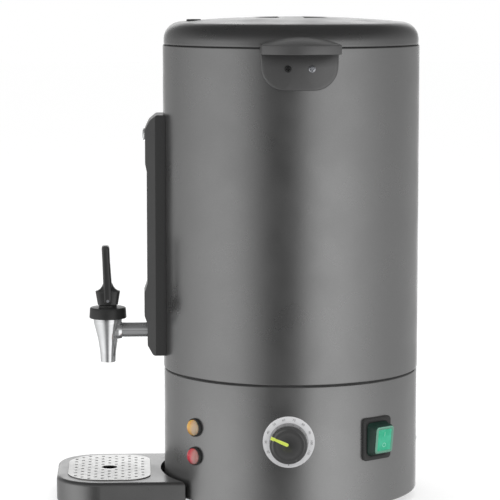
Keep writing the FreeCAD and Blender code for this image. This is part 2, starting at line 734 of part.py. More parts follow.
def pointer_strip(name, width):
    """Straight strip from the knob's middle past its rim, leaning to the left."""
    along = (-sine(pointer_angle), cosine(pointer_angle))
    across = (cosine(pointer_angle), sine(pointer_angle))
    corners = []
    for reach, side in ((0, -1), (0, 1), (knob_radius + 3, 1), (knob_radius + 3, -1)):
        corners.append((along[0] * reach + across[0] * (side * width / 2),
                        dial_height + along[1] * reach + across[1] * (side * width / 2)))
    return pushed_out(name, corners[::-1], knob_back - 1, knob_front + 2)


pointer_play = size("pointer_play", 0.03, "gap round the pointer in its groove")
knob_groove = common("knob_groove", [pointer_band("groove_band", pointer_depth + pointer_play, 2, 1.5),
                                     pointer_strip("groove_strip", pointer_width + 2 * pointer_play)])
piece("thermostat_knob", cut("thermostat_knob", knob_core, [knob_groove]), dial_station)
piece("knob_pointer", common("knob_pointer", [pointer_band("pointer_skin", pointer_depth, pointer_proud, 1.6),
                                              pointer_strip("pointer_bar", pointer_width)]), dial_station)

body_front = base_radius - base_wall - body_gap
body_back = body_front - body_depth
thermostat_block = slab("thermostat_block", (body_back, body_front), (-body_half, body_half),
                        (dial_height - body_half, dial_height + body_half))
thermostat_tabs = [slab(
    f"thermostat_tab_{k}", (body_back - tab_length, body_back + 1),
    (side * tab_span - tab_half, side * tab_span + tab_half),
    (dial_height - tab_wall / 2, dial_height + tab_wall / 2)) for k, side in enumerate((-1, 1))]
shaft_back = body_front - shaft_length
thermostat_tools = [bolt("thermostat_bore", shaft_radius + running, shaft_back - fit, body_front + 1, 0,
                         dial_height)]
for side, word in ((-1, "low"), (1, "high")):
    thermostat_tools.append(bolt(f"thermostat_thread_{word}", screw_radius + running,
                                 body_front - thread_length, body_front + 1,
                                 side * dial_screw_span, dial_height))
piece("thermostat_body", cut("thermostat_body", fuse("thermostat_case", [thermostat_block] + thermostat_tabs),
                             thermostat_tools), dial_station)
piece("thermostat_shaft", bolt("thermostat_shaft", shaft_radius, shaft_back, knob_front - knob_wall - fit, 0,
                               dial_height), dial_station)
dial_screws = []
for side, word in ((-1, "low"), (1, "high")):
    dial_screws.append(fuse(f"dial_screw_{word}", [
        bolt(f"dial_screw_shank_{word}", screw_radius, body_front - thread_length + 0.5, dial_outer + 0.2,
             side * dial_screw_span, dial_height),
        bolt(f"dial_screw_head_{word}", dial_screw_head, dial_outer + seat, dial_outer + 2.2,
             side * dial_screw_span, dial_height)]))
piece("thermostat_screws", group("thermostat_screws", dial_screws), dial_station)

bulb_radius = size("bulb_radius", 2.5, "radius of the temperature bulb")
bulb_length = size("bulb_length", 30, "length of the temperature bulb")
capillary_radius = size("capillary_radius", 0.9, "radius of the capillary tube")


def capillary_shape():
    """Fine tube up from the thermostat, bent in under the tank and ending in a thicker bulb."""
    level = tank_floor.number - bulb_radius.number - 0.1
    foot = (body_back.number + 6, 0, dial_height.number + body_half.number)
    bulb_end = heat_radius.number + 3 + bulb_length.number
    tube = tube_along([foot, (foot[0], 0, level), (bulb_end - 1, 0, level)], capillary_radius.number, 5)
    inward = Vector(-1, 0, 0)
    bulb = Part.makeCylinder(bulb_radius.number, bulb_length.number, Vector(bulb_end, 0, level), inward)
    return tube.fuse(bulb)


piece("capillary_bulb", plain("capillary_bulb", capillary_shape()), dial_station)

# Two signal lamps: black threaded bodies with coloured lenses

lamp_flange = size("lamp_flange", 10, "radius of the lamp's black bezel")
lamp_flange_wall = size("lamp_flange_wall", 3.2, "thickness of the lamp's bezel")
lens_radius = size("lens_radius", 7.7, "radius of the lens")
lens_rise = size("lens_rise", 4.8, "how far the lens stands out of its bezel")
lens_seat = size("lens_seat", 1.6, "how deep the lens sits in its bezel")
lamp_body_depth = size("lamp_body_depth", 24, "depth of the lamp's body behind the wall")

lamp_back = base_radius + seat
lamp_face = lamp_back + lamp_flange_wall
for word, level in (("ready", ready_height), ("power", power_height)):
    holder = turned_out(f"{word}_lamp_form", level, [
        (base_radius - lamp_body_depth, 0), (base_radius - lamp_body_depth, lamp_neck, 0.6),
        (lamp_back, lamp_neck), (lamp_back, lamp_flange), (lamp_face, lamp_flange - 0.6, 0.8),
        (lamp_face, lens_radius + running), (lamp_face - lens_seat, lens_radius + running),
        (lamp_face - lens_seat, 0)])
    piece(f"{word}_lamp_body", holder, lamp_station)
    lens = turned_out(f"{word}_lamp_form_lens", level, [
        (lamp_face - lens_seat + seat, 0), (lamp_face - lens_seat + seat, lens_radius),
        (lamp_face + 1, lens_radius, None, dome_bow(lens_radius, lens_rise - 1)),
        (lamp_face + lens_rise, crown_flat), (lamp_face + lens_rise, 0)])
    piece(f"{word}_lamp_lens", lens, lamp_station)

# Main switch: framed rocker under a soft splash cover

frame_width = size("frame_width", 37, "width of the switch's frame")
frame_height = size("frame_height", 44, "height of the switch's frame")
frame_corner = size("frame_corner", 4, "rounding of the frame's corners")
frame_proud = size("frame_proud", 3, "frame's thickness in front of the wall")
cover_width = size("cover_width", 29, "width of the splash cover")
cover_height = size("cover_height", 34, "height of the splash cover")
cover_proud = size("cover_proud", 10.5, "how far the cover stands out of the frame")
cover_wall = size("cover_wall", 1, "wall of the cover")
cover_edge = size("cover_edge", 5, "rounding of the cover's corners")
rocker_width = size("rocker_width", 17.5, "width of the rocker")
rocker_reach = size("rocker_reach", 11, "half the rocker's height")
rocker_tilt = size("rocker_tilt", 9, "rocker's lean to either side of level")
switch_depth = size("switch_depth", 30, "depth of the switch's body behind the wall")
switch_tab = size("switch_tab", 8, "length of a switch terminal")
tab_drop = size("tab_drop", 8, "switch terminals above and below its middle")
cover_seat = size("cover_seat", 1.5, "how deep the cover sits in the frame")

frame_face = base_radius + frame_proud
core_back = frame_face - switch_depth
pivot_out = frame_face - 2
frame_front = pushed_out("frame_front", centred(frame_width, frame_height, switch_height, frame_corner),
                         base_radius - 4, frame_face)
frame_plate = cut("frame_plate", frame_front, [rod("frame_back_form", base_radius + wrap, base_bottom, base_top)])
frame_core = pushed_out("frame_core", centred(switch_core_width, switch_core_height, switch_height, 1),
                        core_back, frame_face - 0.5)
switch_tabs = [slab(
    f"switch_tab_{k}", (core_back - switch_tab, core_back + 1), (-tab_half, tab_half),
    (switch_height + side * tab_drop - tab_wall / 2, switch_height + side * tab_drop + tab_wall / 2))
    for k, side in enumerate((-1, 1))]
cover_recess = pushed_out("cover_recess", centred(
    cover_width + 2 * running, cover_height + 2 * running, switch_height, cover_edge),
    frame_face - cover_seat, frame_face + 1)
rocker_room = pushed_out("rocker_room", centred(
    rocker_width + 2 * fit, 2 * rocker_reach + 4, switch_height), core_back + 10, frame_face + 1)
piece("switch_frame", cut("switch_frame", fuse("switch_case", [frame_plate, frame_core] + switch_tabs),
                          [cover_recess, rocker_room]), switch_station)

# The rocker is drawn in its off position: its lower half pressed in, its upper half out
rocker_low = pivot_out - 1.5
rocker_high = pivot_out + 4.5
shift = sine(rocker_tilt) * rocker_reach
rocker = widened("rocker_form", [
    (rocker_low - 4, switch_height - 4), (rocker_low - 4, switch_height + 4),
    (rocker_low + shift, switch_height + rocker_reach - 0.4, 0.6),
    (rocker_high + shift, switch_height + rocker_reach, 1),
    (rocker_high - shift, switch_height - rocker_reach, 1),
    (rocker_low - shift, switch_height - rocker_reach + 0.4, 0.6)], rocker_width / 2)
piece("switch_rocker", rocker, switch_station)

cover_front = frame_face + cover_proud
cover_round = cover_edge - 1.5
cover_block = pushed_out("cover_block", centred(cover_width, cover_height, switch_height, cover_edge),
                         frame_face - cover_seat + seat, cover_front)
cover_outer = rounded("cover_outer", cover_block, cover_round,
                      lambda edge: abs(edge.CenterOfMass.x - cover_front.number) < 0.01)
cover_hollow = pushed_out("cover_hollow", centred(
    cover_width - 2 * cover_wall, cover_height - 2 * cover_wall, switch_height, cover_edge - cover_wall),
    frame_face - 2 * cover_seat, cover_front - cover_wall)
cover_inner = rounded("cover_inner", cover_hollow, cover_round - cover_wall,
                      lambda edge: abs(edge.CenterOfMass.x - (cover_front - cover_wall).number) < 0.01)
piece("switch_cover", cut("switch_cover", cover_outer, [cover_inner]), switch_station)

# Mains inlet: black moulded socket with three pins and two screws

inlet_flange_width = size("inlet_flange_width", 50, "width of the inlet's flange")
inlet_flange_height = size("inlet_flange_height", 24, "height of the inlet's flange")
inlet_proud = size("inlet_proud", 3.2, "how far the inlet's flange stands out")
inlet_corner = size("inlet_corner", 5, "rounding of the inlet flange's corners")
inlet_depth = size("inlet_depth", 26, "depth of the inlet behind its face")
inlet_screw_head = size("inlet_screw_head", 2.9, "radius of an inlet screw's head")
socket_width = size("socket_width", 24.5, "width of the socket")
socket_height = size("socket_height", 16.5, "height of the socket")
socket_depth = size("socket_depth", 16.5, "depth of the socket")
socket_corner = size("socket_corner", 5, "cut of the socket's upper corners")
pin_half = size("pin_half", 1, "half the thickness of a pin")
pin_reach = size("pin_reach", 2, "half the height of a pin")
pin_span = size("pin_span", 7, "live and neutral pins from the middle")
pin_drop = size("pin_drop", 2, "live pins below the socket's middle")
pin_rise = size("pin_rise", 4, "earth pin above the live pins")
pin_tail = size("pin_tail", 7, "how far the pins reach out of the inlet's back")

inlet_face = base_radius + inlet_proud
inlet_back = inlet_face - inlet_depth
inlet_plate = cut("inlet_plate", pushed_out("inlet_front", centred(
    inlet_flange_width, inlet_flange_height, inlet_height, inlet_corner), base_radius - 4, inlet_face),
    [rod("inlet_back_form", base_radius + wrap, base_bottom, base_top)])
inlet_core = pushed_out("inlet_core", centred(inlet_core_width, inlet_core_height, inlet_height, 1.5),
                        inlet_back, inlet_face - 0.5)
socket_low = inlet_height - socket_height / 2
socket_high = inlet_height + socket_height / 2
socket_form = pushed_out("socket_form", [
    (-socket_width / 2, socket_low), (socket_width / 2, socket_low),
    (socket_width / 2, socket_high - socket_corner), (socket_width / 2 - socket_corner, socket_high),
    (socket_corner - socket_width / 2, socket_high), (-socket_width / 2, socket_high - socket_corner)],
    inlet_face - socket_depth, inlet_face + 1)
pin_places = [(-pin_span, inlet_height - pin_drop), (pin_span, inlet_height - pin_drop),
              (0, inlet_height - pin_drop + pin_rise)]
inlet_tools = [socket_form]
pins = []
for k, (side, level) in enumerate(pin_places):
    slot_half = pin_half + running
    slot_reach = pin_reach + running
    inlet_tools.append(slab(f"pin_slot_{k}", (inlet_back - 1, inlet_face - socket_depth + 1),
                            (side - slot_half, side + slot_half), (level - slot_reach, level + slot_reach)))
    pins.append(slab(f"inlet_pin_{k}", (inlet_back - pin_tail, inlet_face - 2),
                     (side - pin_half, side + pin_half), (level - pin_reach, level + pin_reach)))
inlet_screws = []
for side, word in ((-1, "low"), (1, "high")):
    inlet_tools.append(bolt(f"inlet_flange_hole_{word}", inlet_screw + screw_gap, wall_in - 1,
                            inlet_face + 1, side * inlet_screw_span, inlet_height))
    inlet_screws.append(fuse(f"inlet_screw_{word}", [
        bolt(f"inlet_screw_shank_{word}", inlet_screw, wall_in - 1, inlet_face + 0.2,
             side * inlet_screw_span, inlet_height),
        bolt(f"inlet_screw_head_{word}", inlet_screw_head, inlet_face + seat, inlet_face + 1.9,
             side * inlet_screw_span, inlet_height)]))
piece("power_inlet", cut("power_inlet", fuse("inlet_case", [inlet_plate, inlet_core]), inlet_tools), rear)
piece("inlet_pins", group("inlet_pins", pins), rear)
piece("inlet_screws", group("inlet_screws", inlet_screws), rear)

# Boil-dry cut-out with its reset button, beside the inlet

cutout_radius = size("cutout_radius", 13, "radius of the cut-out's case")
cutout_depth = size("cutout_depth", 18, "depth of the cut-out's case")
collar_radius = size("collar_radius", 9, "radius of the reset button's collar")
button_radius = size("button_radius", 3.6, "radius of the reset button")
button_proud = size("button_proud", 2.4, "how far the button stands out of its collar")
button_root = size("button_root", 4, "button's inner end inside the cut-out's case")
button_travel = size("button_travel", 1.5, "how far the button is pushed in")
collar_proud = size("collar_proud", 3.2, "how far the collar stands out of the base")

cutout_front = base_radius - base_wall - 0.8
collar_face = base_radius + collar_proud
button_back = cutout_front - button_root
button_bore = button_radius + 2 * running
bore_end = button_back - button_travel - fit
piece("cutout_body", turned_out("cutout_body", inlet_height, [
    (cutout_front - cutout_depth, 0), (cutout_front - cutout_depth, cutout_radius, 1.5),
    (cutout_front, cutout_radius), (cutout_front, reset_neck), (collar_face - 0.4, reset_neck),
    (collar_face - 0.4, button_bore), (bore_end, button_bore), (bore_end, 0)]), reset_station)
piece("cutout_collar", turned_out("cutout_collar", inlet_height, [
    (base_radius + seat, reset_neck + running), (base_radius + seat, collar_radius),
    (collar_face, collar_radius, 1), (collar_face, reset_neck + running)]), reset_station)
piece("reset_button", turned_out("reset_button", inlet_height, [
    (button_back, 0), (button_back, button_radius), (collar_face + button_proud, button_radius, 0.8),
    (collar_face + button_proud, 0)]), reset_station)

# Terminal block on the bottom plate, and the leads between the fittings

block_length = size("block_length", 60, "length of the terminal block")
block_step = size("block_step", 10, "step between the terminal block's ways")
notch_half = size("notch_half", 1, "half the width of a notch between two ways")
notch_depth = size("notch_depth", 5, "depth of a notch between two ways")
block_width = size("block_width", 16, "width of the terminal block")
block_rise = size("block_rise", 14, "height of the terminal block")
block_in = size("block_in", 65.5, "terminal block's middle inside the base's face")
lead_radius = size("lead_radius", 1.3, "radius of a lead")
lead_bend = size("lead_bend", 6, "bend of a lead")

block_out = base_radius - block_in
block_top = plate_top + block_rise
block_core = slab("block_core", (-block_length / 2, block_length / 2),
                  (block_out - block_width / 2, block_out + block_width / 2), (plate_top, block_top))
block_tools = [slab(
    f"block_notch_{k + 2}", (block_step * k - notch_half, block_step * k + notch_half),
    (block_out - block_width, block_out + block_width), (block_top - notch_depth, block_top + 1))
    for k in range(-2, 3)]
piece("terminal_block", cut("terminal_block", block_core, block_tools))


def lead_shapes():
    """Leads from the inlet, the switch and the element down into the terminal block."""
    top = block_top.number
    out = block_out.number
    runs = []
    pins_end = (inlet_back - pin_tail).number
    angle = math.radians(rear.number)
    for (side, height), slot in zip(pin_places, (25, -25, -15)):
        across = number_of(side)
        z = number_of(height)
        starts = [(reach * math.cos(angle) - across * math.sin(angle),
                   reach * math.sin(angle) + across * math.cos(angle), z)
                  for reach in (pins_end, pins_end - 14)]
        runs.append(starts + [(slot, out, z + 4), (slot, out, top)])
    angle = math.radians(switch_station.number)
    tab_end = (core_back - switch_tab).number
    level = (switch_height - tab_drop).number
    starts = [(reach * math.cos(angle), reach * math.sin(angle), level) for reach in (tab_end, tab_end - 16)]
    runs.append(starts + [(19, out - 14, 44), (15, out, 44), (15, out, top)])
    gap = math.radians(element_gap.number)
    bend = 2 * element_radius.number
    x = element_circle.number * math.sin(gap) - bend * math.cos(gap)
    y = element_circle.number * math.cos(gap) + bend * math.sin(gap)
    low = (element_middle - element_drop).number - bend
    for side in (-1, 1):
        runs.append([(side * x, y, low), (side * x, y, low - 14), (side * 5, out, 50), (side * 5, out, top)])
    return Part.makeCompound([tube_along(run, lead_radius.number, lead_bend.number) for run in runs])


piece("wiring_leads", plain("wiring_leads", lead_shapes()))

# Tap: chromed shank, body, black bonnet, lever with its stem, cup and spring

tap_reach = size("tap_reach", 58.8, "tap's upright axis in front of the shell")
shank_bore = size("shank_bore", 5, "radius of the water way")
shoulder_radius = size("shoulder_radius", 13, "radius of the shank's shoulder")
shoulder_wall = size("shoulder_wall", 3, "thickness of the shank's shoulder")
washer_wall = size("washer_wall", 2, "thickness of a tank washer")
washer_flat = size("washer_flat", 3, "inner washer's flat face inside the tank's wall")
nut_wall = size("nut_wall", 5, "thickness of the nut inside the tank")
shank_nut_across = size("shank_nut_across", 24, "width of the nut across its flats")
gauge_reach = size("gauge_reach", 7.5, "gauge glass's middle in front of the shell")
tee_radius = size("tee_radius", 7.1, "radius of the gauge's socket on the shank")
tee_rise = size("tee_rise", 21, "height of the gauge's socket above the shank")
glass_radius = size("glass_radius", 5, "outer radius of the gauge glass")
glass_wall = size("glass_wall", 1.2, "wall of the gauge glass")
seal_wall = size("seal_wall", 1, "wall of the gauge's lower seal")
spout_drop = size("spout_drop", 22.6, "spout's mouth below the valve seat")
body_rise = size("body_rise", 13, "top of the tap's body above the shank's middle")
body_radius = size("body_radius", 15.4, "tap body's radius at its top")
spout_radius = size("spout_radius", 8, "tap body's radius at the spout")
spout_bore = size("spout_bore", 6, "radius of the spout's bore")
chamber_bore = size("chamber_bore", 11, "radius of the chamber's upper part")
seat_bore = size("seat_bore", 8.2, "radius of the chamber at the valve seat")
seat_drop = size("seat_drop", 11, "valve seat below the shank's middle")
neck_radius = size("neck_radius", 13.4, "radius of the body's threaded neck")
bonnet_radius = size("bonnet_radius", 19.65, "bonnet's radius")
bonnet_rise = size("bonnet_rise", 11.4, "bonnet's height")
bonnet_collar = size("bonnet_collar", 9.5, "radius of the bonnet's raised collar")
collar_rise = size("collar_rise", 2.4, "height of the bonnet's raised collar")
roof_gap = size("roof_gap", 1.5, "space between the neck's top and the bonnet's roof")
stem_radius = size("stem_radius", 3, "radius of the valve stem")

tap_out = shell_radius + tap_reach
gauge_out = shell_radius + gauge_reach
valve_seat = tap_height - seat_drop
spout_bottom = valve_seat - spout_drop
washer_out = tank_radius + washer_wall
shoulder_in = washer_out + seat
tee_top = tap_height + tee_rise
tee_floor = tee_top - 10
shank_end = tap_out - 12
shank_form = fuse("shank_form", [
    bolt("shank_bar", shank_radius, tank_bore - 14, shank_end, 0, tap_height),
    bolt("shank_shoulder", shoulder_radius, shoulder_in, shoulder_in + shoulder_wall, 0, tap_height),
    rod("shank_tee", tee_radius, tap_height, tee_top, gauge_out)])
piece("tap_shank", cut("tap_shank", shank_form, [
    bolt("shank_way", shank_bore, tank_bore - 15, shank_end + 1, 0, tap_height),
    rod("tee_way", 3, tap_height, tee_top + 1, gauge_out),
    rod("tee_socket", glass_radius + seal_wall + running, tee_floor, tee_top + 1, gauge_out)]), front)

washer_in = tank_bore - washer_flat - washer_wall
washer_low = tap_height - 20
washer_high = tap_height + 20
inner_washer = common("inner_washer", [
    bolt("inner_washer_disc", shoulder_radius, washer_in, tank_bore, 0, tap_height),
    ring("inner_washer_form", 0, tank_bore - wrap, washer_low, washer_high)])
outer_washer = cut("outer_washer", bolt(
    "outer_washer_disc", shoulder_radius, tank_radius - 4, washer_out, 0, tap_height),
    [rod("outer_washer_form", tank_radius + wrap, washer_low, washer_high)])
piece("shank_washers", cut("shank_washers", group("washer_pair", [inner_washer, outer_washer]), [
    bolt("washer_bore", shank_radius + running, tank_bore - 20, tank_radius + 20, 0, tap_height)]), front)
nut_face = washer_in - seat
nut_end = nut_face - nut_wall
shank_nut_form = pushed_out("shank_nut_form", hexagon(shank_nut_across, 0, tap_height), nut_end, nut_face)
piece("shank_nut", cut("shank_nut", shank_nut_form, [
    bolt("shank_nut_bore", shank_radius + running, nut_end - 1, nut_face + 1, 0, tap_height)]), front)

neck_rise = size("neck_rise", 6.5, "height of the body's threaded neck")
socket_wall = size("socket_wall", 2.2, "wall of the body's socket round the shank")
body_top = tap_height + body_rise
neck_top = body_top + neck_rise
body_form = fuse("body_form", [
    turned_upright("tap_body_form", tap_out, [
        (0, spout_bottom), (spout_radius, spout_bottom, 0.8), (spout_radius + 0.6, valve_seat - 12),
        (body_radius - 4.6, valve_seat + 2), (body_radius, body_top - 5), (body_radius, body_top, 0.8),
        (neck_radius, body_top), (neck_radius, neck_top), (0, neck_top)]),
    bolt("tap_socket", shank_radius + socket_wall, shank_end - 3, tap_out - 8, 0, tap_height)])
piece("tap_body", cut("tap_body", body_form, [
    rod("spout_way", spout_bore, spout_bottom - 1, valve_seat + 1, tap_out),
    turned_upright("chamber", tap_out, [
        (0, valve_seat), (seat_bore, valve_seat), (seat_bore, valve_seat + 9),
        (chamber_bore, valve_seat + 15), (chamber_bore, neck_top + 1), (0, neck_top + 1)]),
    bolt("shank_socket", shank_radius + running, shank_end - 4, shank_end + seat, 0, tap_height),
    bolt("inlet_way", shank_bore, shank_end - 1, tap_out, 0, tap_height)]), front)

bonnet_bottom = body_top + seat
bonnet_top = bonnet_bottom + bonnet_rise
bonnet_roof = neck_top + roof_gap
collar_top = bonnet_top + collar_rise
piece("tap_bonnet", turned_upright("tap_bonnet", tap_out, [
    (neck_radius + running, bonnet_bottom), (bonnet_radius, bonnet_bottom, 1.2),
    (bonnet_radius - 1.2, bonnet_top, 1.6), (bonnet_collar, bonnet_top), (bonnet_collar, collar_top),
    (stem_radius + running, collar_top), (stem_radius + running, bonnet_roof),
    (neck_radius + running, bonnet_roof)]), front)

pivot_rise = size("pivot_rise", 4.65, "lever's pin above the bonnet's collar")
pin_radius = size("pin_radius", 1.5, "radius of the lever's pin")
yoke_gap = size("yoke_gap", 7, "slot in the lever for the stem")
yoke_half = size("yoke_half", 7.5, "half the lever's width at its foot")
lever_rise = size("lever_rise", 58.3, "lever's tip above its pin")
lever_thick = size("lever_thick", 8.4, "lever's thickness")
lever_lean = size("lever_lean", 2.2, "how far the lever leans out at its tip")
crown_half = size("crown_half", 13.1, "half the length of the lever's foot")
crown_rise = size("crown_rise", 10.2, "tips of the lever's foot above its pin")

cup_radius = size("cup_radius", 7.2, "radius of the silicone cup")
cup_height = size("cup_height", 8, "height of the silicone cup")
pivot_height = collar_top + pivot_rise
lever_top = pivot_height + lever_rise
crown_top = pivot_height + crown_rise
stem_top = pivot_height + 3.2
stem_foot = valve_seat + 3
spring_low = valve_seat + cup_height + 1.2
spring_high = bonnet_roof - seat
piece("tap_stem", cut("tap_stem", fuse("stem_form", [
    rod("stem_bar", stem_radius, stem_foot, stem_top, tap_out),
    rod("stem_collar", cup_radius, spring_low - 1, spring_low - seat, tap_out)]), [
    pin("stem_eye", pin_radius + running, 2 * stem_radius, tap_out, pivot_height)]), front)
piece("seat_cup", turned_upright("seat_cup", tap_out, [
    (0, valve_seat + seat), (cup_radius, valve_seat + seat, 1), (cup_radius - 1, spring_low - 1 - seat),
    (stem_radius + running, spring_low - 1 - seat), (stem_radius + running, stem_foot - seat),
    (0, stem_foot - seat)]), front)

spring_radius = size("spring_radius", 5.6, "middle radius of the valve spring")
spring_wire = size("spring_wire", 0.6, "radius of the spring's wire")
spring_turns = size("spring_turns", 5, "turns of the valve spring")


def spring_shape():
    """Closing spring: a helix of wire between the stem's collar and the bonnet."""
    wire = spring_wire.number
    low = spring_low.number + wire + 0.05
    length = spring_high.number - spring_low.number - 2 * wire - 0.1
    helix = Part.makeHelix(length / spring_turns.number, length, spring_radius.number)
    circle = Part.Circle(Vector(spring_radius.number, 0, 0), Vector(0, 1, 0), wire)
    shape = Part.Wire(helix.Edges).makePipeShell([Part.Wire(circle.toShape())], True, True)
    shape.translate(Vector(tap_out.number, 0, low))
    return shape


piece("tap_spring", plain("tap_spring", spring_shape()), front)

lever_side = [
    (tap_out - crown_half + 2.4, collar_top + fit), (tap_out + crown_half - 2.4, collar_top + fit),
    (tap_out + crown_half, crown_top, 1.4), (tap_out + lever_thick / 2 + 4, crown_top, 1),
    (tap_out + lever_thick / 2 + 0.4, crown_top + 9, 12),
    (tap_out + lever_lean + lever_thick / 2, lever_top, 3.9),
    (tap_out + lever_lean - lever_thick / 2, lever_top, 3.9),
    (tap_out - lever_thick / 2 + 0.4, crown_top + 9, 12),
    (tap_out - lever_thick / 2 - 4, crown_top, 1), (tap_out - crown_half, crown_top, 1.4)]
lever_front = [
    (-yoke_half, collar_top + fit, 0.8), (yoke_half, collar_top + fit, 0.8), (yoke_half, crown_top + 6, 20),
    (yoke_half + 1.5, lever_top, 6), (-yoke_half - 1.5, lever_top, 6), (-yoke_half, crown_top + 6, 20)]
lever_form = common("lever_form", [widened("lever_profile", lever_side, yoke_half + 3),
                                   pushed_out("lever_face", lever_front, tap_out - 2 * crown_half,
                                              tap_out + 2 * crown_half)])
piece("tap_lever", cut("tap_lever", lever_form, [
    slab("yoke_slot", (tap_out - 2 * stem_radius, tap_out + 2 * stem_radius), (-yoke_gap / 2, yoke_gap / 2),
         (collar_top - 1, stem_top + 1.5)),
    pin("yoke_hole", pin_radius + running, yoke_half + 3, tap_out, pivot_height)]), front)
piece("lever_pin", pin("lever_pin", pin_radius, yoke_half + 0.4, tap_out, pivot_height), front)

# Level gauge: black moulded housing over a glass tube that stands in the shank's socket

housing_drop = size("housing_drop", 24, "bottom of the gauge housing below the tap's shank")
housing_low = size("housing_low", 71.2, "top of the gauge housing below the shell's top")
housing_half = size("housing_half", 25, "half the housing's width")
housing_depth = size("housing_depth", 17.2, "housing's front in front of the shell")
lower_pad = size("lower_pad", 3.1, "how far the lower pad stands out")
upper_pad = size("upper_pad", 1.7, "how far the upper pad stands out")
pad_slope = size("pad_slope", 8.5, "height of the slope beside a pad")
lower_pad_low = size("lower_pad_low", 17, "lower pad's bottom above the tap's shank")
lower_pad_rise = size("lower_pad_rise", 25, "height of the lower pad")
upper_pad_drop = size("upper_pad_drop", 15.5, "upper pad's top below the housing's top")
upper_pad_rise = size("upper_pad_rise", 36, "height of the upper pad")
bevel_depth = size("bevel_depth", 8.5, "where the side's bevel starts, in front of the shell")
bevel_half = size("bevel_half", 16, "half the housing's width at its front")
housing_wall = size("housing_wall", 2.4, "wall of the housing")
window_half = size("window_half", 4.5, "half the width of the gauge window")
window_drop = size("window_drop", 12, "window above the lower pad and below the upper one")
bracket_drop = size("bracket_drop", 21.5, "gauge's top screw below the housing's top")
cap_screw = size("cap_screw", 2.5, "radius of the cap screw's shank")

housing_bottom = tap_height - housing_drop
housing_top = shell_top - housing_low
housing_out = shell_radius + housing_depth
lower_pad_out = housing_out + lower_pad
upper_pad_out = housing_out + upper_pad
bevel_out = shell_radius + bevel_depth
bracket_height = housing_top - bracket_drop
pad_bottom = tap_height + lower_pad_low
pad_top = housing_top - upper_pad_drop
window_bottom = pad_bottom + lower_pad_rise + window_drop
window_top = pad_top - upper_pad_rise - window_drop
housing_side = widened("housing_side", [
    (shell_radius - 4, housing_bottom), (housing_out - 6, housing_bottom, 3),
    (housing_out, housing_bottom + 10, 3),
    (housing_out, pad_bottom - pad_slope), (lower_pad_out, pad_bottom, 3),
    (lower_pad_out, pad_bottom + lower_pad_rise, 3),
    (housing_out, pad_bottom + lower_pad_rise + pad_slope, 3),
    (housing_out, pad_top - upper_pad_rise - pad_slope), (upper_pad_out, pad_top - upper_pad_rise, 3),
    (upper_pad_out, pad_top, 4), (upper_pad_out - 4.4, pad_top + 9.5, 8), (gauge_out - 0.5, housing_top, 4),
    (shell_radius - 4, housing_top)], housing_half)


def housing_plan(name, inset, low, high):
    """Plan of the housing: straight sides, then a bevel to the narrower front."""
    end = lower_pad_out + 1 - inset
    return raised(name, [
        (shell_radius - 4, inset - housing_half), (bevel_out, inset - housing_half, 1.5),
        (end, inset - bevel_half, 1.5), (end, bevel_half - inset, 1.5),
        (bevel_out, housing_half - inset, 1.5), (shell_radius - 4, housing_half - inset)], low, high)


housing_outer = common("housing_outer", [
    housing_side, housing_plan("housing_plan_outer", 0, housing_bottom, housing_top)])
housing_hollow = common("housing_hollow", [
    widened("hollow_side", [
        (shell_radius - 5, housing_bottom + housing_wall),
        (housing_out - 6 - housing_wall, housing_bottom + housing_wall),
        (housing_out - housing_wall, housing_bottom + 12), (housing_out - housing_wall, pad_top + 4),
        (gauge_out - 0.5 - housing_wall, housing_top - housing_wall),
        (shell_radius - 5, housing_top - housing_wall)],
        housing_half),
    housing_plan("housing_plan_inner", housing_wall, housing_bottom, housing_top)])
window = pushed_out("window", box_corners(-window_half, window_half, window_bottom, window_top, 3),
                    gauge_out, lower_pad_out + 2)
piece("gauge_housing", cut("gauge_housing", housing_outer, [
    rod("housing_back_form", shell_radius + wrap, housing_bottom - 5, housing_top + 5),
    housing_hollow, window,
    bolt("housing_shank_hole", shank_radius + fit, gauge_out, lower_pad_out + 2, 0, tap_height),
    bolt("housing_screw_hole", cap_screw + screw_gap, gauge_out, lower_pad_out + 2, 0, bracket_height)]),
    front)

glass_low = tee_floor + 1.5
glass_high = bracket_height - 14
piece("gauge_glass", cut("gauge_glass", rod("glass_form", glass_radius, glass_low, glass_high, gauge_out), [
    rod("glass_bore", glass_radius - glass_wall, glass_low - 1, glass_high + 1, gauge_out)]), front)
piece("gauge_lower_seal", turned_upright("gauge_lower_seal", gauge_out, [
    (glass_radius + running, tee_floor + 3), (glass_radius + seal_wall, tee_floor + 3),
    (glass_radius + seal_wall, tee_top), (tee_radius - 0.4, tee_top + seat), (tee_radius - 0.4, tee_top + 2),
    (glass_radius + running, tee_top + 2)]), front)
cap_low = glass_high - 6
piece("gauge_top_cap", turned_upright("gauge_top_cap", gauge_out, [
    (glass_radius + running, cap_low), (glass_radius + 1.9, cap_low), (glass_radius + 1.9, glass_high + 3, 1),
    (1, glass_high + 3), (1, glass_high + seat), (glass_radius + running, glass_high + seat)]), front)

bracket_wall = size("bracket_wall", 1.5, "sheet of the gauge's top bracket")
bracket_gap = size("bracket_gap", 2.4, "bracket behind the housing's front wall")
web_out = housing_out - housing_wall - bracket_gap
bracket_low = glass_high + 3 + fit
bracket_high = bracket_height + 9
bracket_core = cut("bracket_core", slab("bracket_block", (shell_radius - 5, web_out),
                                        (-bracket_reach, bracket_reach), (bracket_low, bracket_high)),
                   [slab("bracket_room", (shell_radius - 6, web_out - bracket_wall),
                         (bracket_wall - bracket_reach, bracket_reach - bracket_wall),
                         (bracket_low - 1, bracket_high + 1)),
                    rod("bracket_back_form", shell_radius + wrap, bracket_low - 2, bracket_high + 2),
                    bolt("bracket_hole", cap_screw + running, shell_radius, web_out + 1, 0, bracket_height)])
piece("gauge_bracket", bracket_core, front)
cap_radius = size("cap_radius", 6.7, "radius of the domed cap screw")
cap_rise = size("cap_rise", 2.2, "dome of the cap screw")
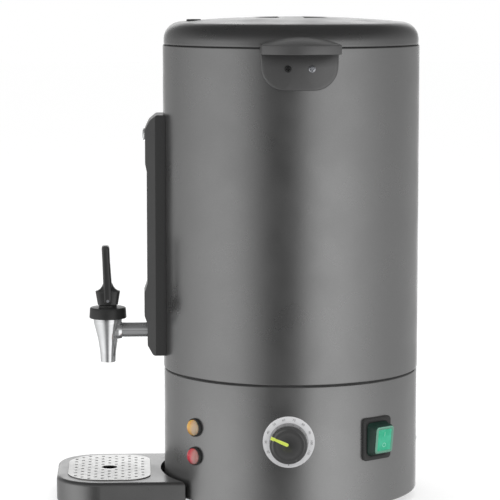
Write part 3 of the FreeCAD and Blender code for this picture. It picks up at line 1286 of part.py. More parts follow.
cap_band = size("cap_band", 0.8, "straight edge under the cap screw's dome")
cap_face = upper_pad_out + seat
cap_shoulder = cap_face + cap_band
piece("gauge_cap_screw", turned_out("gauge_cap_screw", bracket_height, [
    (shell_radius + 2, 0), (shell_radius + 2, cap_screw, 0.4), (cap_face, cap_screw),
    (cap_face, cap_radius), (cap_shoulder, cap_radius, None, dome_bow(cap_radius, cap_rise)),
    (cap_shoulder + cap_rise, crown_flat), (cap_shoulder + cap_rise, 0)]), front)

# Handles: black moulded plates with a grip shelf, each held by two screws

plate_thick = size("plate_thick", 4, "thickness of a handle's plate")
plate_half = size("plate_half", 39.3, "half the width of a handle")
plate_foot = size("plate_foot", 37.5, "half the width of a handle's plate at its bottom")
plate_drop = size("plate_drop", 40.7, "bottom of a handle's plate below the shell's top")
plate_corner = size("plate_corner", 24, "rounding of the plate's bottom corners")
grip_drop = size("grip_drop", 4.2, "underside of the grip below the shell's top")
grip_band = size("grip_band", 9.4, "height of the grip's front band")
grip_reach = size("grip_reach", 44.5, "how far the grip stands out of the shell")
grip_bow = size("grip_bow", 59, "radius of the grip's front edge in plan")
grip_rise = size("grip_rise", 7.2, "how much the grip's top rises towards the lid")
grip_arch = size("grip_arch", 142.4, "radius of the grip's top, from its front to the shell")
grip_crown = size("grip_crown", 134, "radius of the grip's crowned top, side to side")
grip_wall = size("grip_wall", 3, "wall of the grip")
grip_depth = size("grip_depth", 6.5, "depth of the hollow under the grip")
grip_root = size("grip_root", 8, "grip's solid root next to the shell")
head_sink = size("head_sink", 0.8, "how deep a handle screw's head is let in")
head_radius = size("head_radius", 3.45, "radius of a handle screw's head")

plate_low = shell_top - plate_drop
grip_low = shell_top - grip_drop
grip_out = shell_radius + grip_reach
grip_top = grip_low + grip_band + grip_rise
crown_edge = grip_top - grip_crown + root(grip_crown * grip_crown - plate_half * plate_half)


def grip_plan(name, inner, inset, low, high):
    """Plan of the grip: straight sides and a bowed front."""
    half = plate_half - inset
    bow = grip_bow - inset
    side = grip_out - grip_bow + root(bow * bow - half * half)
    return raised(name, [(inner, -half), (side, -half, None, bow), (side, half), (inner, half)], low, high)


def handle(word):
    """Plate wrapped on the shell, with the grip shelf growing out of its top."""
    plate = cut(word + "_plate", common(word + "_plate_form", [
        pushed_out(word + "_shield", [
            (-plate_half, grip_low + 3), (-plate_foot, plate_low, plate_corner),
            (plate_foot, plate_low, plate_corner), (plate_half, grip_low + 3)],
            shell_radius - 20, shell_radius + plate_thick + 2),
        rod(word + "_plate_face", shell_radius + plate_thick, plate_low - 5, grip_low + 10)]), [
        rod(word + "_plate_back", shell_radius + wrap, plate_low - 6, grip_low + 11)])
    shelf = common(word + "_shelf", [
        widened(word + "_shelf_side", [
            (shell_radius - 20, grip_low), (grip_out, grip_low, 1.2),
            (grip_out, grip_low + grip_band, None, grip_arch), (shell_radius - 20, grip_top)],
            plate_half + 2),
        grip_plan(word + "_shelf_plan", shell_radius - 20, 0, grip_low - 1, grip_top + 1),
        pushed_out(word + "_shelf_crown", [
            (-plate_half - 1, grip_low - 1), (plate_half + 1, grip_low - 1), (plate_half + 1, crown_edge - 1),
            (plate_half, crown_edge, None, grip_crown), (-plate_half, crown_edge),
            (-plate_half - 1, crown_edge - 1)], shell_radius - 21, grip_out + 5)])
    solid = fuse(word + "_solid", [plate, shelf])
    tools = [rod(word + "_body_room", shell_radius + wrap, plate_low - 7, grip_top + 5),
             grip_plan(word + "_hollow", shell_radius + grip_root, grip_wall,
                       grip_low - 1, grip_low + grip_depth)]
    for k, side in enumerate((-1, 1)):
        tools.append(bolt(f"{word}_screw_hole_{k}", screw_radius + screw_gap, shell_radius - 6, grip_out,
                          side * handle_screw_span, handle_screw_height))
        tools.append(bolt(f"{word}_head_room_{k}", head_radius + fit, shell_radius + plate_thick - head_sink,
                          grip_out, side * handle_screw_span, handle_screw_height))
    return cut(word, solid, tools)


handle_screws = []
for word, angle in handle_stations.items():
    piece(word, handle(word), angle)
    head_back = shell_radius + plate_thick - head_sink + seat
    for k, side in enumerate((-1, 1)):
        screw = fuse(f"{word}_screw_{k}", [
            bolt(f"{word}_screw_shank_{k}", screw_radius, shell_radius - 9, head_back + 0.2,
                 side * handle_screw_span, handle_screw_height),
            bolt(f"{word}_screw_head_{k}", head_radius, head_back, head_back + 2, side * handle_screw_span,
                 handle_screw_height)])
        handle_screws.append(group(f"{word}_screw_turn_{k}", [screw], angle))
piece("handle_screws", group("handle_screws", handle_screws))

# Lid: domed painted sheet with two finger wells either side of a bridge, steel pan and seal below

lid_step = size("lid_step", 0.95, "how much smaller the lid is in radius than the shell")
lid_wall = size("lid_wall", 1, "sheet of the lid")
lid_side = size("lid_side", 5.5, "height of the lid's straight side")
shoulder = size("shoulder", 18, "radius of the lid's shoulder")
dome_slope = size("dome_slope", 5.2, "slope of the lid's dome at the shoulder")
pan_gap = size("pan_gap", 3.7, "gap between the lid's pan and the tank's wall")
pan_drop = size("pan_drop", 9.8, "how deep the pan reaches into the tank")
well_radius = size("well_radius", 39.2, "radius of the finger wells")
bridge_half = size("bridge_half", 11, "half the width of the bridge between the wells")
cup_wall = size("cup_wall", 2, "wall of the black cup under the wells")
cup_overlap = size("cup_overlap", 1.6, "cup's outer wall outside the wells' edge")
cup_flange = size("cup_flange", 3.5, "width of the cup's flange under the lid")
well_depth = size("well_depth", 21, "depth of the finger wells")
vent_in = size("vent_in", 7, "steam vent inside the pan's edge")
vent_radius = size("vent_radius", 5.5, "radius of the steam vent's neck")
vent_bore = size("vent_bore", 2.2, "radius of the steam vent's bore")
vent_flange = size("vent_flange", 7.7, "radius of the steam vent's flange")
vent_flange_rise = size("vent_flange_rise", 3.8, "height of the steam vent's flange")
vent_drop = size("vent_drop", 2.6, "steam vent's top below the lid's middle")
seal_reach = size("seal_reach", 3.3, "how far the lid's seal stands out of the pan")

pan_radius = tank_bore - pan_gap
vent_out = pan_radius - vent_in
lid_radius = shell_radius - lid_step
lid_bottom = rim_top + fit
shoulder_middle = lid_bottom + lid_side
shoulder_reach = lid_radius - shoulder + shoulder * sine(dome_slope)
shoulder_top = shoulder_middle + shoulder * cosine(dome_slope)
dome_radius = shoulder_reach / sine(dome_slope)
dome_middle = shoulder_top - dome_radius * cosine(dome_slope)
dome_top = dome_middle + dome_radius


def dome_height(radius, at):
    return dome_middle + root(radius * radius - at * at)


inner_reach = shoulder_reach - lid_wall * sine(dome_slope)
inner_top = shoulder_top - lid_wall * cosine(dome_slope)
lid_sheet = turned("lid_sheet", [
    (lid_radius - lid_wall, lid_bottom), (lid_radius, lid_bottom),
    (lid_radius, shoulder_middle, None, shoulder), (shoulder_reach, shoulder_top, None, dome_radius),
    (0, dome_top), (0, dome_top - lid_wall, None, lid_wall - dome_radius),
    (inner_reach, inner_top, None, lid_wall - shoulder), (lid_radius - lid_wall, shoulder_middle)])
wells = cut("wells", rod("well_round", well_radius, shoulder_middle, dome_top + 2), [
    slab("bridge_strip", (-well_radius - 1, well_radius + 1), (-bridge_half, bridge_half),
         (shoulder_middle - 1, dome_top + 3))])
lid_vent_hole = group("lid_vent_hole", [
    rod("lid_vent_bore", vent_radius + fit, shoulder_middle - 20, dome_top + 5, vent_out)], front)
piece("lid", cut("lid", lid_sheet, [wells, lid_vent_hole]))

pan_bottom = rim_top - pan_drop
pan_edge = lid_radius - lid_wall - running
pan_form = turned("pan_form", [
    (0, pan_bottom), (pan_radius, pan_bottom, 4), (pan_radius, lid_bottom), (pan_edge, lid_bottom),
    (pan_edge, lid_bottom + lid_wall), (pan_radius - lid_wall, lid_bottom + lid_wall),
    (pan_radius - lid_wall, pan_bottom + lid_wall, 3), (0, pan_bottom + lid_wall)])
pan_vent_hole = group("pan_vent_hole", [
    rod("pan_vent_bore", vent_radius + fit, pan_bottom - 2, pan_bottom + 5, vent_out)], front)
piece("lid_pan", cut("lid_pan", pan_form, [pan_vent_hole]))
piece("lid_seal", turned("lid_seal", [
    (pan_radius + seat, pan_bottom + 4.5), (pan_radius + 1.4, pan_bottom + 4.5),
    (pan_radius + seal_reach, pan_bottom + 6.5), (pan_radius + seal_reach - 0.4, pan_bottom + 8),
    (pan_radius + 1.6, pan_bottom + 7.4), (pan_radius + seat, pan_bottom + 8.6)]))

cup_out = well_radius + cup_overlap
cup_rim = cup_out + cup_flange
cup_floor = dome_top - lid_wall - well_depth
cup_top = dome_height(dome_radius - lid_wall - seat, cup_rim)
piece("lid_cup", turned("lid_cup", [
    (0, cup_floor - cup_wall), (cup_out, cup_floor - cup_wall, 7), (cup_out, cup_top - cup_wall),
    (cup_rim, cup_top - cup_wall), (cup_rim, cup_top), (cup_out - cup_wall, cup_top),
    (cup_out - cup_wall, cup_floor, 5), (0, cup_floor)]))

vent_low = pan_bottom - 1
vent_high = dome_top - vent_drop
vent_flange_low = vent_high - vent_flange_rise
vent_form = turned_upright("vent_form", vent_out, [
    (vent_bore, vent_low), (vent_radius, vent_low), (vent_radius, vent_flange_low),
    (vent_flange, vent_flange_low), (vent_flange, vent_high, 1), (vent_bore, vent_high)])
lid_solid = turned("lid_solid", [
    (0, shoulder_middle - 30), (lid_radius, shoulder_middle - 30),
    (lid_radius, shoulder_middle, None, shoulder), (shoulder_reach, shoulder_top, None, dome_radius),
    (0, dome_top)])
piece("steam_vent", fuse("steam_vent", [
    cut("vent_above", vent_form, [group("lid_solid_turn", [lid_solid])]),
    cut("vent_neck", rod("vent_neck_bar", vent_radius, vent_low, vent_high - 0.4, vent_out), [
        rod("vent_neck_bore", vent_bore, vent_low - 1, dome_top + 1, vent_out)])]), front)

# Drip tray: painted pan that hugs the base, with a perforated stainless grate

tray_reach = size("tray_reach", 113.7, "tray's front in front of the base")
tray_half = size("tray_half", 78, "half the tray's width")
tray_height = size("tray_height", 27.5, "height of the tray")
tray_gap = size("tray_gap", 4, "gap between tray and base")
tray_corner = size("tray_corner", 46, "rounding of the tray's corners in plan")
tray_edge = size("tray_edge", 4, "rounding of the tray's top and bottom edges")
tray_wall = size("tray_wall", 2, "thickness of the tray's tongue")
tray_floor = size("tray_floor", 3, "tray's floor above the table")
grate_inset = size("grate_inset", 15.4, "grate's inner edge in front of the base")
grate_margin = size("grate_margin", 11.6, "grate's outer edge behind the tray's front")
grate_half = size("grate_half", 65, "half the grate's width")
grate_corner = size("grate_corner", 38, "rounding of the grate's outer corners")
grate_corner_in = size("grate_corner_in", 28, "rounding of the grate's corners next to the base")
grate_rise = size("grate_rise", 3, "height of the grate over its turned-down rim")
grate_wall = size("grate_wall", 1.2, "sheet of the grate")
grate_proud = size("grate_proud", 0.9, "how far the grate stands above the tray")
ledge = size("ledge", 4, "ledge that the grate rests on")
tongue_half = size("tongue_half", 30, "half the width of the tray's tongue")
tongue_length = size("tongue_length", 29.5, "tray's tongue under the urn")

tray_out = base_radius + tray_reach
grate_inner = base_radius + grate_inset
grate_outer = tray_out - grate_margin
tongue_in = base_radius - tongue_length
tray_root = shell_radius - 50
tray_block = raised("tray_block", [
    (tray_root, -tray_half), (tray_out, -tray_half, tray_corner), (tray_out, tray_half, tray_corner),
    (tray_root, tray_half)], 0, tray_height)


def outline_edge(edge):
    """Edges round the top and the bottom of the tray, but not at its inner end."""
    box = edge.BoundBox
    return box.ZLength < 0.01 and box.XMax > tray_root.number + 1


def grate_plan(name, inset, low, high):
    """Plan of the grate: its corners next to the base are tighter than the outer ones."""
    inner = grate_inner + inset
    outer = grate_outer - inset
    side = grate_half - inset
    return raised(name, [
        (inner, -side, grate_corner_in - inset), (outer, -side, grate_corner - inset),
        (outer, side, grate_corner - inset), (inner, side, grate_corner_in - inset)], low, high)


tray_soft = rounded("tray_soft", tray_block, tray_edge, outline_edge)
basin = grate_plan("basin", ledge, tray_floor, tray_height + 1)
grate_low = tray_height + grate_proud - grate_rise
grate_room = grate_plan("grate_room", -fit, grate_low - seat, tray_height + 1)
tray_main = cut("tray_main", tray_soft, [
    rod("tray_inner_form", base_radius + tray_gap, -1, tray_height + 1), basin, grate_room])
tongue = slab("tongue", (tongue_in, base_radius + tray_gap + 4), (-tongue_half, tongue_half),
              (foot_height - fit - tray_wall, foot_height - fit))
piece("drip_tray", fuse("drip_tray", [tray_main, tongue]), front)

hole_radius = size("hole_radius", 1.8, "radius of a hole in the grate")
hole_step = size("hole_step", 7.05, "step between the grate's rows and columns of holes")
finger_radius = size("finger_radius", 8.2, "radius of the grate's finger hole")
hole_edge = 4.4
hole_columns = 5
hole_rows = 8

grate_high = grate_low + grate_rise
grate_middle = (grate_inner + grate_outer) / 2
grate_form = cut("grate_form", grate_plan("grate_block", 0, grate_low, grate_high), [
    grate_plan("grate_under", grate_wall, grate_low - 1, grate_high - grate_wall)])


def at_corner(row, column):
    """Whether a hole would come closer than hole_edge to one of the grate's rounded corners."""
    corner = (grate_corner if column > 0 else grate_corner_in).number
    along = hole_step.number * abs(column) - (grate_outer - grate_middle).number + corner
    across = hole_step.number * abs(row) - grate_half.number + corner
    return min(along, across) > 0 and math.hypot(along, across) > corner - hole_edge


grate_tools = [rod("finger_hole", finger_radius, grate_low - 2, grate_high + 1, grate_middle)]
for row in range(-hole_rows, hole_rows + 1):
    for column in range(-hole_columns, hole_columns + 1):
        staggered = (row + column) % 2 == 1
        reach = hole_step.number * math.hypot(row, column)
        clear = reach > finger_radius.number + 2 * hole_radius.number
        if staggered and clear and not at_corner(row, column):
            grate_tools.append(rod(f"grate_hole_{row + hole_rows}_{column + hole_columns}", hole_radius,
                                   grate_high - 3, grate_high + 1, grate_middle + hole_step * column,
                                   hole_step * row))
piece("drip_grate", cut("drip_grate", grate_form, grate_tools), front)

# Every object has to be sound before anything is written

doc.recompute()
faults = [obj.Name for obj in doc.Objects if {"Invalid", "Error"} & set(obj.State)]
for name, obj in pieces.items():
    if obj.Shape.isNull() or not obj.Shape.isValid():
        faults.append(name)
if faults:
    raise RuntimeError("unsound: " + ", ".join(faults))
os.makedirs("parts", exist_ok=True)
for name, obj in pieces.items():
    obj.Shape.exportStep(f"parts/{name}.step")
    print(name, len(obj.Shape.Solids), obj.Shape.BoundBox)
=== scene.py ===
import math
import bmesh
import bpy
import numpy as np
from mathutils import Matrix, Vector


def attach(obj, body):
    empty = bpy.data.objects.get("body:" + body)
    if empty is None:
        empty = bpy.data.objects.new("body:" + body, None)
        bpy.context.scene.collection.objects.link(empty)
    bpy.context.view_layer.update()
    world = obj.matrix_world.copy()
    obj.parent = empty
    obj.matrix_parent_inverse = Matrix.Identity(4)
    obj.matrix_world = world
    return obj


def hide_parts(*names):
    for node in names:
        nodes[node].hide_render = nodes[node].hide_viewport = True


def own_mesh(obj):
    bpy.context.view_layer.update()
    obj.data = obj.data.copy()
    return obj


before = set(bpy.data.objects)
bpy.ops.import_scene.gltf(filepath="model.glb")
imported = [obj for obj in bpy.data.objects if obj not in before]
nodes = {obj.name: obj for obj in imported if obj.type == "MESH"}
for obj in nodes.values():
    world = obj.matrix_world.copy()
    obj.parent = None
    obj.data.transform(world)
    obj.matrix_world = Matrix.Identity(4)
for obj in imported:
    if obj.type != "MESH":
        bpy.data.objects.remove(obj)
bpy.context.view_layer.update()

# Hot water urn. Sizes are in millimetres from the middle of the urn's foot, heights from the worktop.
# Stations are degrees round the urn: tap at -90, dial at -4.4, switch at 37.2, mains inlet at 110.
scene = bpy.context.scene

# Camera and studio. The camera stands level with the upper shell and looks a little down at the dial side.
# The room is white all round for the camera; what the paint and chrome mirror is a white sweep behind,
# two broad lights at the sides, and the dimmer studio above and behind the camera.
view_turn = math.radians(-2.8)
toward = Vector((math.cos(view_turn), math.sin(view_turn), 0))
right = Vector((-math.sin(view_turn), math.cos(view_turn), 0))
look_down = math.radians(6.66)
camera = bpy.data.objects.new("camera", bpy.data.cameras.new("camera"))
scene.collection.objects.link(camera)
camera.data.lens = 172.8
camera.data.sensor_width = 36
camera.data.clip_end = 20
back = toward * math.cos(look_down) + Vector((0, 0, math.sin(look_down)))
over = back.cross(right)
turn = Matrix((right, over, back)).transposed()
camera_distance, camera_shift, camera_height = 2.515, 0.0428, 0.553
stand = toward * camera_distance - right * camera_shift + Vector((0, 0, camera_height))
camera.matrix_world = Matrix.Translation(stand) @ turn.to_4x4()
scene.camera = camera
scene.view_settings.view_transform = "Standard"


class Wiring:
    """Short names for building shader nodes in one tree."""

    def __init__(self, tree):
        self.tree = tree

    def node(self, kind, **settings):
        made = self.tree.nodes.new(kind)
        for key, value in settings.items():
            setattr(made, key, value)
        return made

    def join(self, source, target):
        self.tree.links.new(source, target)

    def fill(self, socket, value):
        if isinstance(value, bpy.types.NodeSocket):
            self.join(value, socket)
        else:
            socket.default_value = value

    def math(self, operation, *values):
        made = self.node("ShaderNodeMath", operation=operation)
        for socket, value in zip(made.inputs, values):
            self.fill(socket, value)
        return made.outputs[0]

    def ramp(self, value, low, high, start=0.0, end=1.0):
        made = self.node("ShaderNodeMapRange", interpolation_type="SMOOTHSTEP")
        for socket, number in zip(made.inputs, (value, low, high, start, end)):
            self.fill(socket, number)
        return made.outputs[0]

    def curve(self, value, places):
        """Value read off straight runs between (place, level) pairs; levels go up to 2."""
        low, high = places[0][0], places[-1][0]
        made = self.node("ShaderNodeValToRGB")
        self.join(self.math("DIVIDE", self.math("SUBTRACT", value, low), high - low), made.inputs[0])
        dots = made.color_ramp.elements
        for place_at, _ in places[1:-1]:
            dots.new((place_at - low) / (high - low))
        for dot, (place_at, level) in zip(dots, places):
            dot.position = (place_at - low) / (high - low)
            dot.color = (level / 2, level / 2, level / 2, 1)
        return self.math("MULTIPLY", made.outputs["Color"], 2)

    def mix(self, amount, first, second):
        made = self.node("ShaderNodeMix", data_type="RGBA")
        self.fill(made.inputs[0], amount)
        self.fill(made.inputs[6], first)
        self.fill(made.inputs[7], second)
        return made.outputs[2]


world = bpy.data.worlds.new("studio")
scene.world = world
world.use_nodes = True
world.node_tree.nodes.clear()
studio = Wiring(world.node_tree)
way = studio.node("ShaderNodeTexCoord").outputs["Generated"]


def facing(direction):
    """Cosine between the ray and a fixed direction."""
    made = studio.node("ShaderNodeVectorMath", operation="DOT_PRODUCT")
    studio.join(way, made.inputs[0])
    made.inputs[1].default_value = tuple(direction.normalized())
    return made.outputs["Value"]


def round_from_camera(degrees):
    angle = view_turn + math.radians(degrees)
    return Vector((math.cos(angle), math.sin(angle), 0))


sideways, ahead = facing(right), facing(toward)
azimuth = studio.math("DEGREES", studio.math("ARCTAN2", sideways, ahead))
elevation = studio.math("DEGREES", studio.math("ARCSINE", facing(Vector((0, 0, 1)))))
# Levels of the room, round the camera in degrees to its right, and in degrees up from level.
round_levels = ((-180, 0.5), (-155, 0.5), (-124, 0.47), (-104, 0.65), (-87, 0.8), (-70, 0.9), (-56, 0.88),
                (-44, 0.72), (-30, 0.36), (-18, 0.04), (-4, 0.02), (6, 0.2), (16, 0.8), (28, 1.08),
                (42, 1.08), (54, 0.96), (66, 0.8), (80, 0.64), (95, 0.54), (113, 0.52), (140, 0.56),
                (180, 0.5))
upright_levels = ((-90, 0.6), (-20, 1.2), (-13, 1.02), (-10.5, 1.13), (-8.5, 1), (-6, 1.04), (-4, 0.97),
                  (-2, 0.84), (6, 0.78), (14, 0.8), (26, 0.45), (40, 0.16), (90, 0.03))
evened_levels = ((-90, 0.4), (-16, 0.16), (-10, 0.06), (-8, 0), (1, 0), (14, 1), (90, 1))
sweep_round = ((-180, 1), (-168, 1), (-158, 0), (158, 0), (168, 1), (180, 1))
sweep_upright = ((-20, 1.2), (12, 1.2), (16, 0.9), (24, 0.3), (40, 0))
even_level, matt_level = 0.36, 0.8
ring = studio.curve(azimuth, round_levels)
sweep = studio.math("MULTIPLY", studio.curve(azimuth, sweep_round), studio.curve(elevation, sweep_upright))
evened = studio.curve(elevation, evened_levels)
around = studio.math("MULTIPLY_ADD", evened, studio.math("SUBTRACT", even_level, ring), ring)
level = studio.math("MULTIPLY", around, studio.curve(elevation, upright_levels))
mirrored = studio.math("ADD", level, sweep)
path = studio.node("ShaderNodeLightPath")
shiny = studio.math("MAXIMUM", path.outputs["Is Glossy Ray"], path.outputs["Is Transmission Ray"])
strength = studio.math("MULTIPLY_ADD", shiny, studio.math("SUBTRACT", mirrored, matt_level), matt_level)
strength = studio.math("MAXIMUM", strength, path.outputs["Is Camera Ray"])
glow = studio.node("ShaderNodeBackground")
glow.inputs["Color"].default_value = (1, 1, 1, 1)
studio.join(strength, glow.inputs["Strength"])
studio.join(glow.outputs[0], studio.node("ShaderNodeOutputWorld").inputs[0])


def soft_light(name, degrees, distance, height, size, power):
    """Square lamp aimed at the middle of the urn."""
    lamp = bpy.data.objects.new(name, bpy.data.lights.new(name, "AREA"))
    lamp.data.size = size
    lamp.data.energy = power
    lamp.location = round_from_camera(degrees) * distance + Vector((0, 0, height))
    aim = Vector((0, 0, 0.25)) - lamp.location
    lamp.rotation_euler = aim.to_track_quat("-Z", "Y").to_euler()
    lamp.visible_glossy = False
    scene.collection.objects.link(lamp)


soft_light("left_lamp", -62, 1.9, 1.2, 1.4, 9)
soft_light("right_lamp", 48, 1.9, 1.2, 1.2, 9)
soft_light("top_lamp", 180, 0.8, 2.2, 1.6, 10)

floor_mesh = bpy.data.meshes.new("floor")
reach = 12
floor_corners = [(-reach, -reach, 0), (reach, -reach, 0), (reach, reach, 0), (-reach, reach, 0)]
floor_mesh.from_pydata(floor_corners, [], [(0, 1, 2, 3)])
floor = bpy.data.objects.new("floor", floor_mesh)
scene.collection.objects.link(floor)
floor.visible_glossy = False
floor_finish = bpy.data.materials.new("white_sweep")
floor_finish.use_nodes = True
sweep_wiring = Wiring(floor_finish.node_tree)
sweep_shader = floor_finish.node_tree.nodes["Principled BSDF"]
sweep_shader.inputs["Base Color"].default_value = (0.62, 0.62, 0.62, 1)
sweep_shader.inputs["Roughness"].default_value = 0.9
sweep_shader.inputs["Specular IOR Level"].default_value = 0
sweep_shader.inputs["Emission Color"].default_value = (1, 1, 1, 1)
seen = sweep_wiring.node("ShaderNodeLightPath")
sweep_wiring.join(sweep_wiring.math("MULTIPLY", seen.outputs["Is Camera Ray"], 0.5),
                  sweep_shader.inputs["Emission Strength"])
floor_mesh.materials.append(floor_finish)

# Base housing. A deep-drawn steel shell with a rolled lip at the bottom and a step in at the top,
# sprayed with dark grey satin paint that carries a fine metallic flake and a little orange peel.


def rounded(corners, steps=6):
    """Closed outline of (u, v) or (u, v, radius) corners. A corner with a radius becomes an arc that touches
    both sides: its points turn evenly round the arc's middle from one side to the other."""
    spots = np.array([corner[:2] for corner in corners], float)
    runs = []
    for k, corner in enumerate(corners):
        here, before, after = spots[k], spots[k - 1], spots[(k + 1) % len(spots)]
        if len(corner) < 3:
            runs.append(here[None])
            continue
        back = (before - here) / np.linalg.norm(before - here)
        ahead = (after - here) / np.linalg.norm(after - here)
        half = math.acos(float(np.clip(back @ ahead, -1, 1))) / 2
        middle = here + (back + ahead) / np.linalg.norm(back + ahead) * corner[2] / math.sin(half)
        trim = corner[2] / math.tan(half)
        start, end = here + back * trim - middle, here + ahead * trim - middle
        sweep_angle = math.pi - 2 * half
        t = np.linspace(0, 1, steps + 1)[:, None]
        turned = np.sin((1 - t) * sweep_angle) * start + np.sin(t * sweep_angle) * end
        runs.append(middle + turned / math.sin(sweep_angle))
    return np.concatenate(runs)


def turned_upright(outline, count=96, out=0.0):
    """Outline (radius, height) carried round an upright axis: x = out + r cos t, y = r sin t, z = height."""
    t = np.arange(count) * (2 * math.pi / count)
    r, z = np.asarray(outline, float).T
    return np.stack([out + np.outer(r, np.cos(t)), np.outer(r, np.sin(t)), np.outer(z, np.ones(count))],
                    axis=-1)


def cells(points, loop=False, ends=False):
    """Grid of points and its faces. Each cell joins a point to the next in its row, which closes on itself,
    and in its column. Loop joins the last row to the first, and ends closes the first and last rows."""
    rows, columns = points.shape[:2]
    row = np.arange(rows if loop else rows - 1)[:, None]
    column = np.arange(columns)[None, :]
    after, beside = (row + 1) % rows, (column + 1) % columns
    quads = np.stack([row * columns + column, row * columns + beside, after * columns + beside,
                      after * columns + column], axis=-1).reshape(-1, 4).tolist()
    if ends:
        quads += [list(range(columns)), list(range((rows - 1) * columns, rows * columns))]
    return points.reshape(-1, 3), quads


def piece(name, grids, body, slot, finish, station=0.0, stands_for=(), crease=35.0):
    """One mesh from grids of points in millimetres, turned to its station and brought to metres. Points that
    meet are merged, the faces turn outwards, and edges sharper than the crease angle stay sharp."""
    corners, faces, first = [], [], 0
    for points, quads in grids:
        corners.append(points)
        faces += [[first + k for k in face] for face in quads]
        first += len(points)
    angle = math.radians(station)
    around = np.array([[math.cos(angle), -math.sin(angle), 0], [math.sin(angle), math.cos(angle), 0],
                       [0, 0, 1]])
    same_point = 2e-6
    mesh = bpy.data.meshes.new(name)
    mesh.from_pydata((np.concatenate(corners) @ around.T / 1000).tolist(), [], faces)
    form = bmesh.new()
    form.from_mesh(mesh)
    bmesh.ops.remove_doubles(form, verts=form.verts, dist=same_point)
    bmesh.ops.recalc_face_normals(form, faces=form.faces)
    form.to_mesh(mesh)
    form.free()
    mesh.polygons.foreach_set("use_smooth", np.ones(len(mesh.polygons), bool))
    mesh.set_sharp_from_angle(angle=math.radians(crease))
    mesh.materials.append(finish)
    made = bpy.data.objects.new(name, mesh)
    scene.collection.objects.link(made)
    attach(made, body)
    if stands_for:
        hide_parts(*stands_for)
    return made


def effect(name, inputs):
    """Empty node group for a finish. An input whose default is a number is a value, and one of four numbers a
    colour; the outputs are the colour, the roughness and the height of the relief."""
    tree = bpy.data.node_groups.new(name, "ShaderNodeTree")
    for key, start in inputs.items():
        kind = "NodeSocketColor" if isinstance(start, tuple) else "NodeSocketFloat"
        tree.interface.new_socket(key, in_out="INPUT", socket_type=kind).default_value = start
    for key, kind in (("Color", "Color"), ("Rough", "Float"), ("Height", "Float")):
        tree.interface.new_socket(key, in_out="OUTPUT", socket_type=f"NodeSocket{kind}")
    wiring = Wiring(tree)
    return wiring, wiring.node("NodeGroupInput").outputs, wiring.node("NodeGroupOutput").inputs


def noise(wiring, where, scale, detail=2.0):
    """Noise value over a place."""
    made = wiring.node("ShaderNodeTexNoise")
    wiring.join(where, made.inputs["Vector"])
    wiring.fill(made.inputs["Scale"], scale)
    made.inputs["Detail"].default_value = detail
    return made.outputs["Fac"]


def place(wiring):
    return wiring.node("ShaderNodeTexCoord").outputs["Object"]


wiring, given, out = effect("sprayed_coat", {"Color": (0.2, 0.2, 0.2, 1), "Flake": (0.3, 0.3, 0.3, 1),
                                             "Rough": 0.4})
spot = place(wiring)
flake = wiring.ramp(noise(wiring, spot, 2600, 1), 0.52, 0.7)
cloud = noise(wiring, spot, 7, 3)
wiring.join(wiring.mix(wiring.math("MULTIPLY_ADD", cloud, 0.25, wiring.math("MULTIPLY", flake, 0.5)),
                       given["Color"], given["Flake"]), out["Color"])
handled = wiring.ramp(noise(wiring, spot, 22, 5), 0.35, 0.7, -0.03, 0.04)
wiring.join(wiring.math("ADD", given["Rough"], handled), out["Rough"])
wiring.join(wiring.math("MULTIPLY_ADD", noise(wiring, spot, 420, 2), 0.8,
                        wiring.math("MULTIPLY", noise(wiring, spot, 1900, 1), 0.2)), out["Height"])


def new_finish(name, metallic=0.0, coat=0.0, bump=0.0):
    """Material with its Principled shader and, where the surface has relief, a bump node on its normal."""
    made = bpy.data.materials.new(name)
    made.use_nodes = True
    shader = made.node_tree.nodes["Principled BSDF"]
    shader.inputs["Metallic"].default_value = metallic
    shader.inputs["Coat Weight"].default_value = coat
    wiring = Wiring(made.node_tree)
    relief = None
    if bump:
        relief = wiring.node("ShaderNodeBump")
        relief.inputs["Strength"].default_value = 1.0
        relief.inputs["Distance"].default_value = bump
        wiring.join(relief.outputs[0], shader.inputs["Normal"])
    return made, wiring, shader.inputs, relief.inputs["Height"] if relief else None


def use(wiring, group, **values):
    """Places a node group and sets its inputs."""
    made = wiring.node("ShaderNodeGroup")
    made.node_tree = bpy.data.node_groups[group]
    for key, value in values.items():
        wiring.fill(made.inputs[key], value)
    return made.outputs


def grey(level, warm=0.0):
    return (level * (1 + warm), level, level * (1 - warm), 1)


def finished(name, group, metallic=0.0, coat=0.0, bump=0.0, **values):
    """Material whose colour, roughness and relief all come from one node group."""
    made, wiring, shader, height = new_finish(name, metallic, coat, bump)
    look = use(wiring, group, **values)
    wiring.join(look["Color"], shader["Base Color"])
    wiring.join(look["Rough"], shader["Roughness"])
    wiring.join(look["Height"], height)
    return made


paint_relief = 0.00003


def painted(name, tone, flake, rough, metallic=0.9):
    return finished(name, "sprayed_coat", metallic, 0, paint_relief, Color=tone, Flake=flake, Rough=rough)


base_paint = painted("grey_satin_paint_of_base", grey(0.3), grey(0.4), 0.3)
base_radius, shell_radius = 133.5, 134.0
base_bottom, base_top = 8.0, 135.9
flange = 118.0
base_outline = rounded([(122, base_bottom), (base_radius, base_bottom, 3), (base_radius, base_top, 1.1),
                        (flange, base_top), (flange, 134.7), (132.3, 134.7), (132.3, 9.2), (122, 9.2)])
piece("housing_of_base", [cells(turned_upright(base_outline, 288), loop=True)], "urn", "grey_paint",
      base_paint, stands_for=["base_housing"])

# Bottom plate, tie rods and nuts, and the foot. Zinc-plated steel and black rubber, all under the base
# or inside it: the rods pull the plate, the base and the shell together.

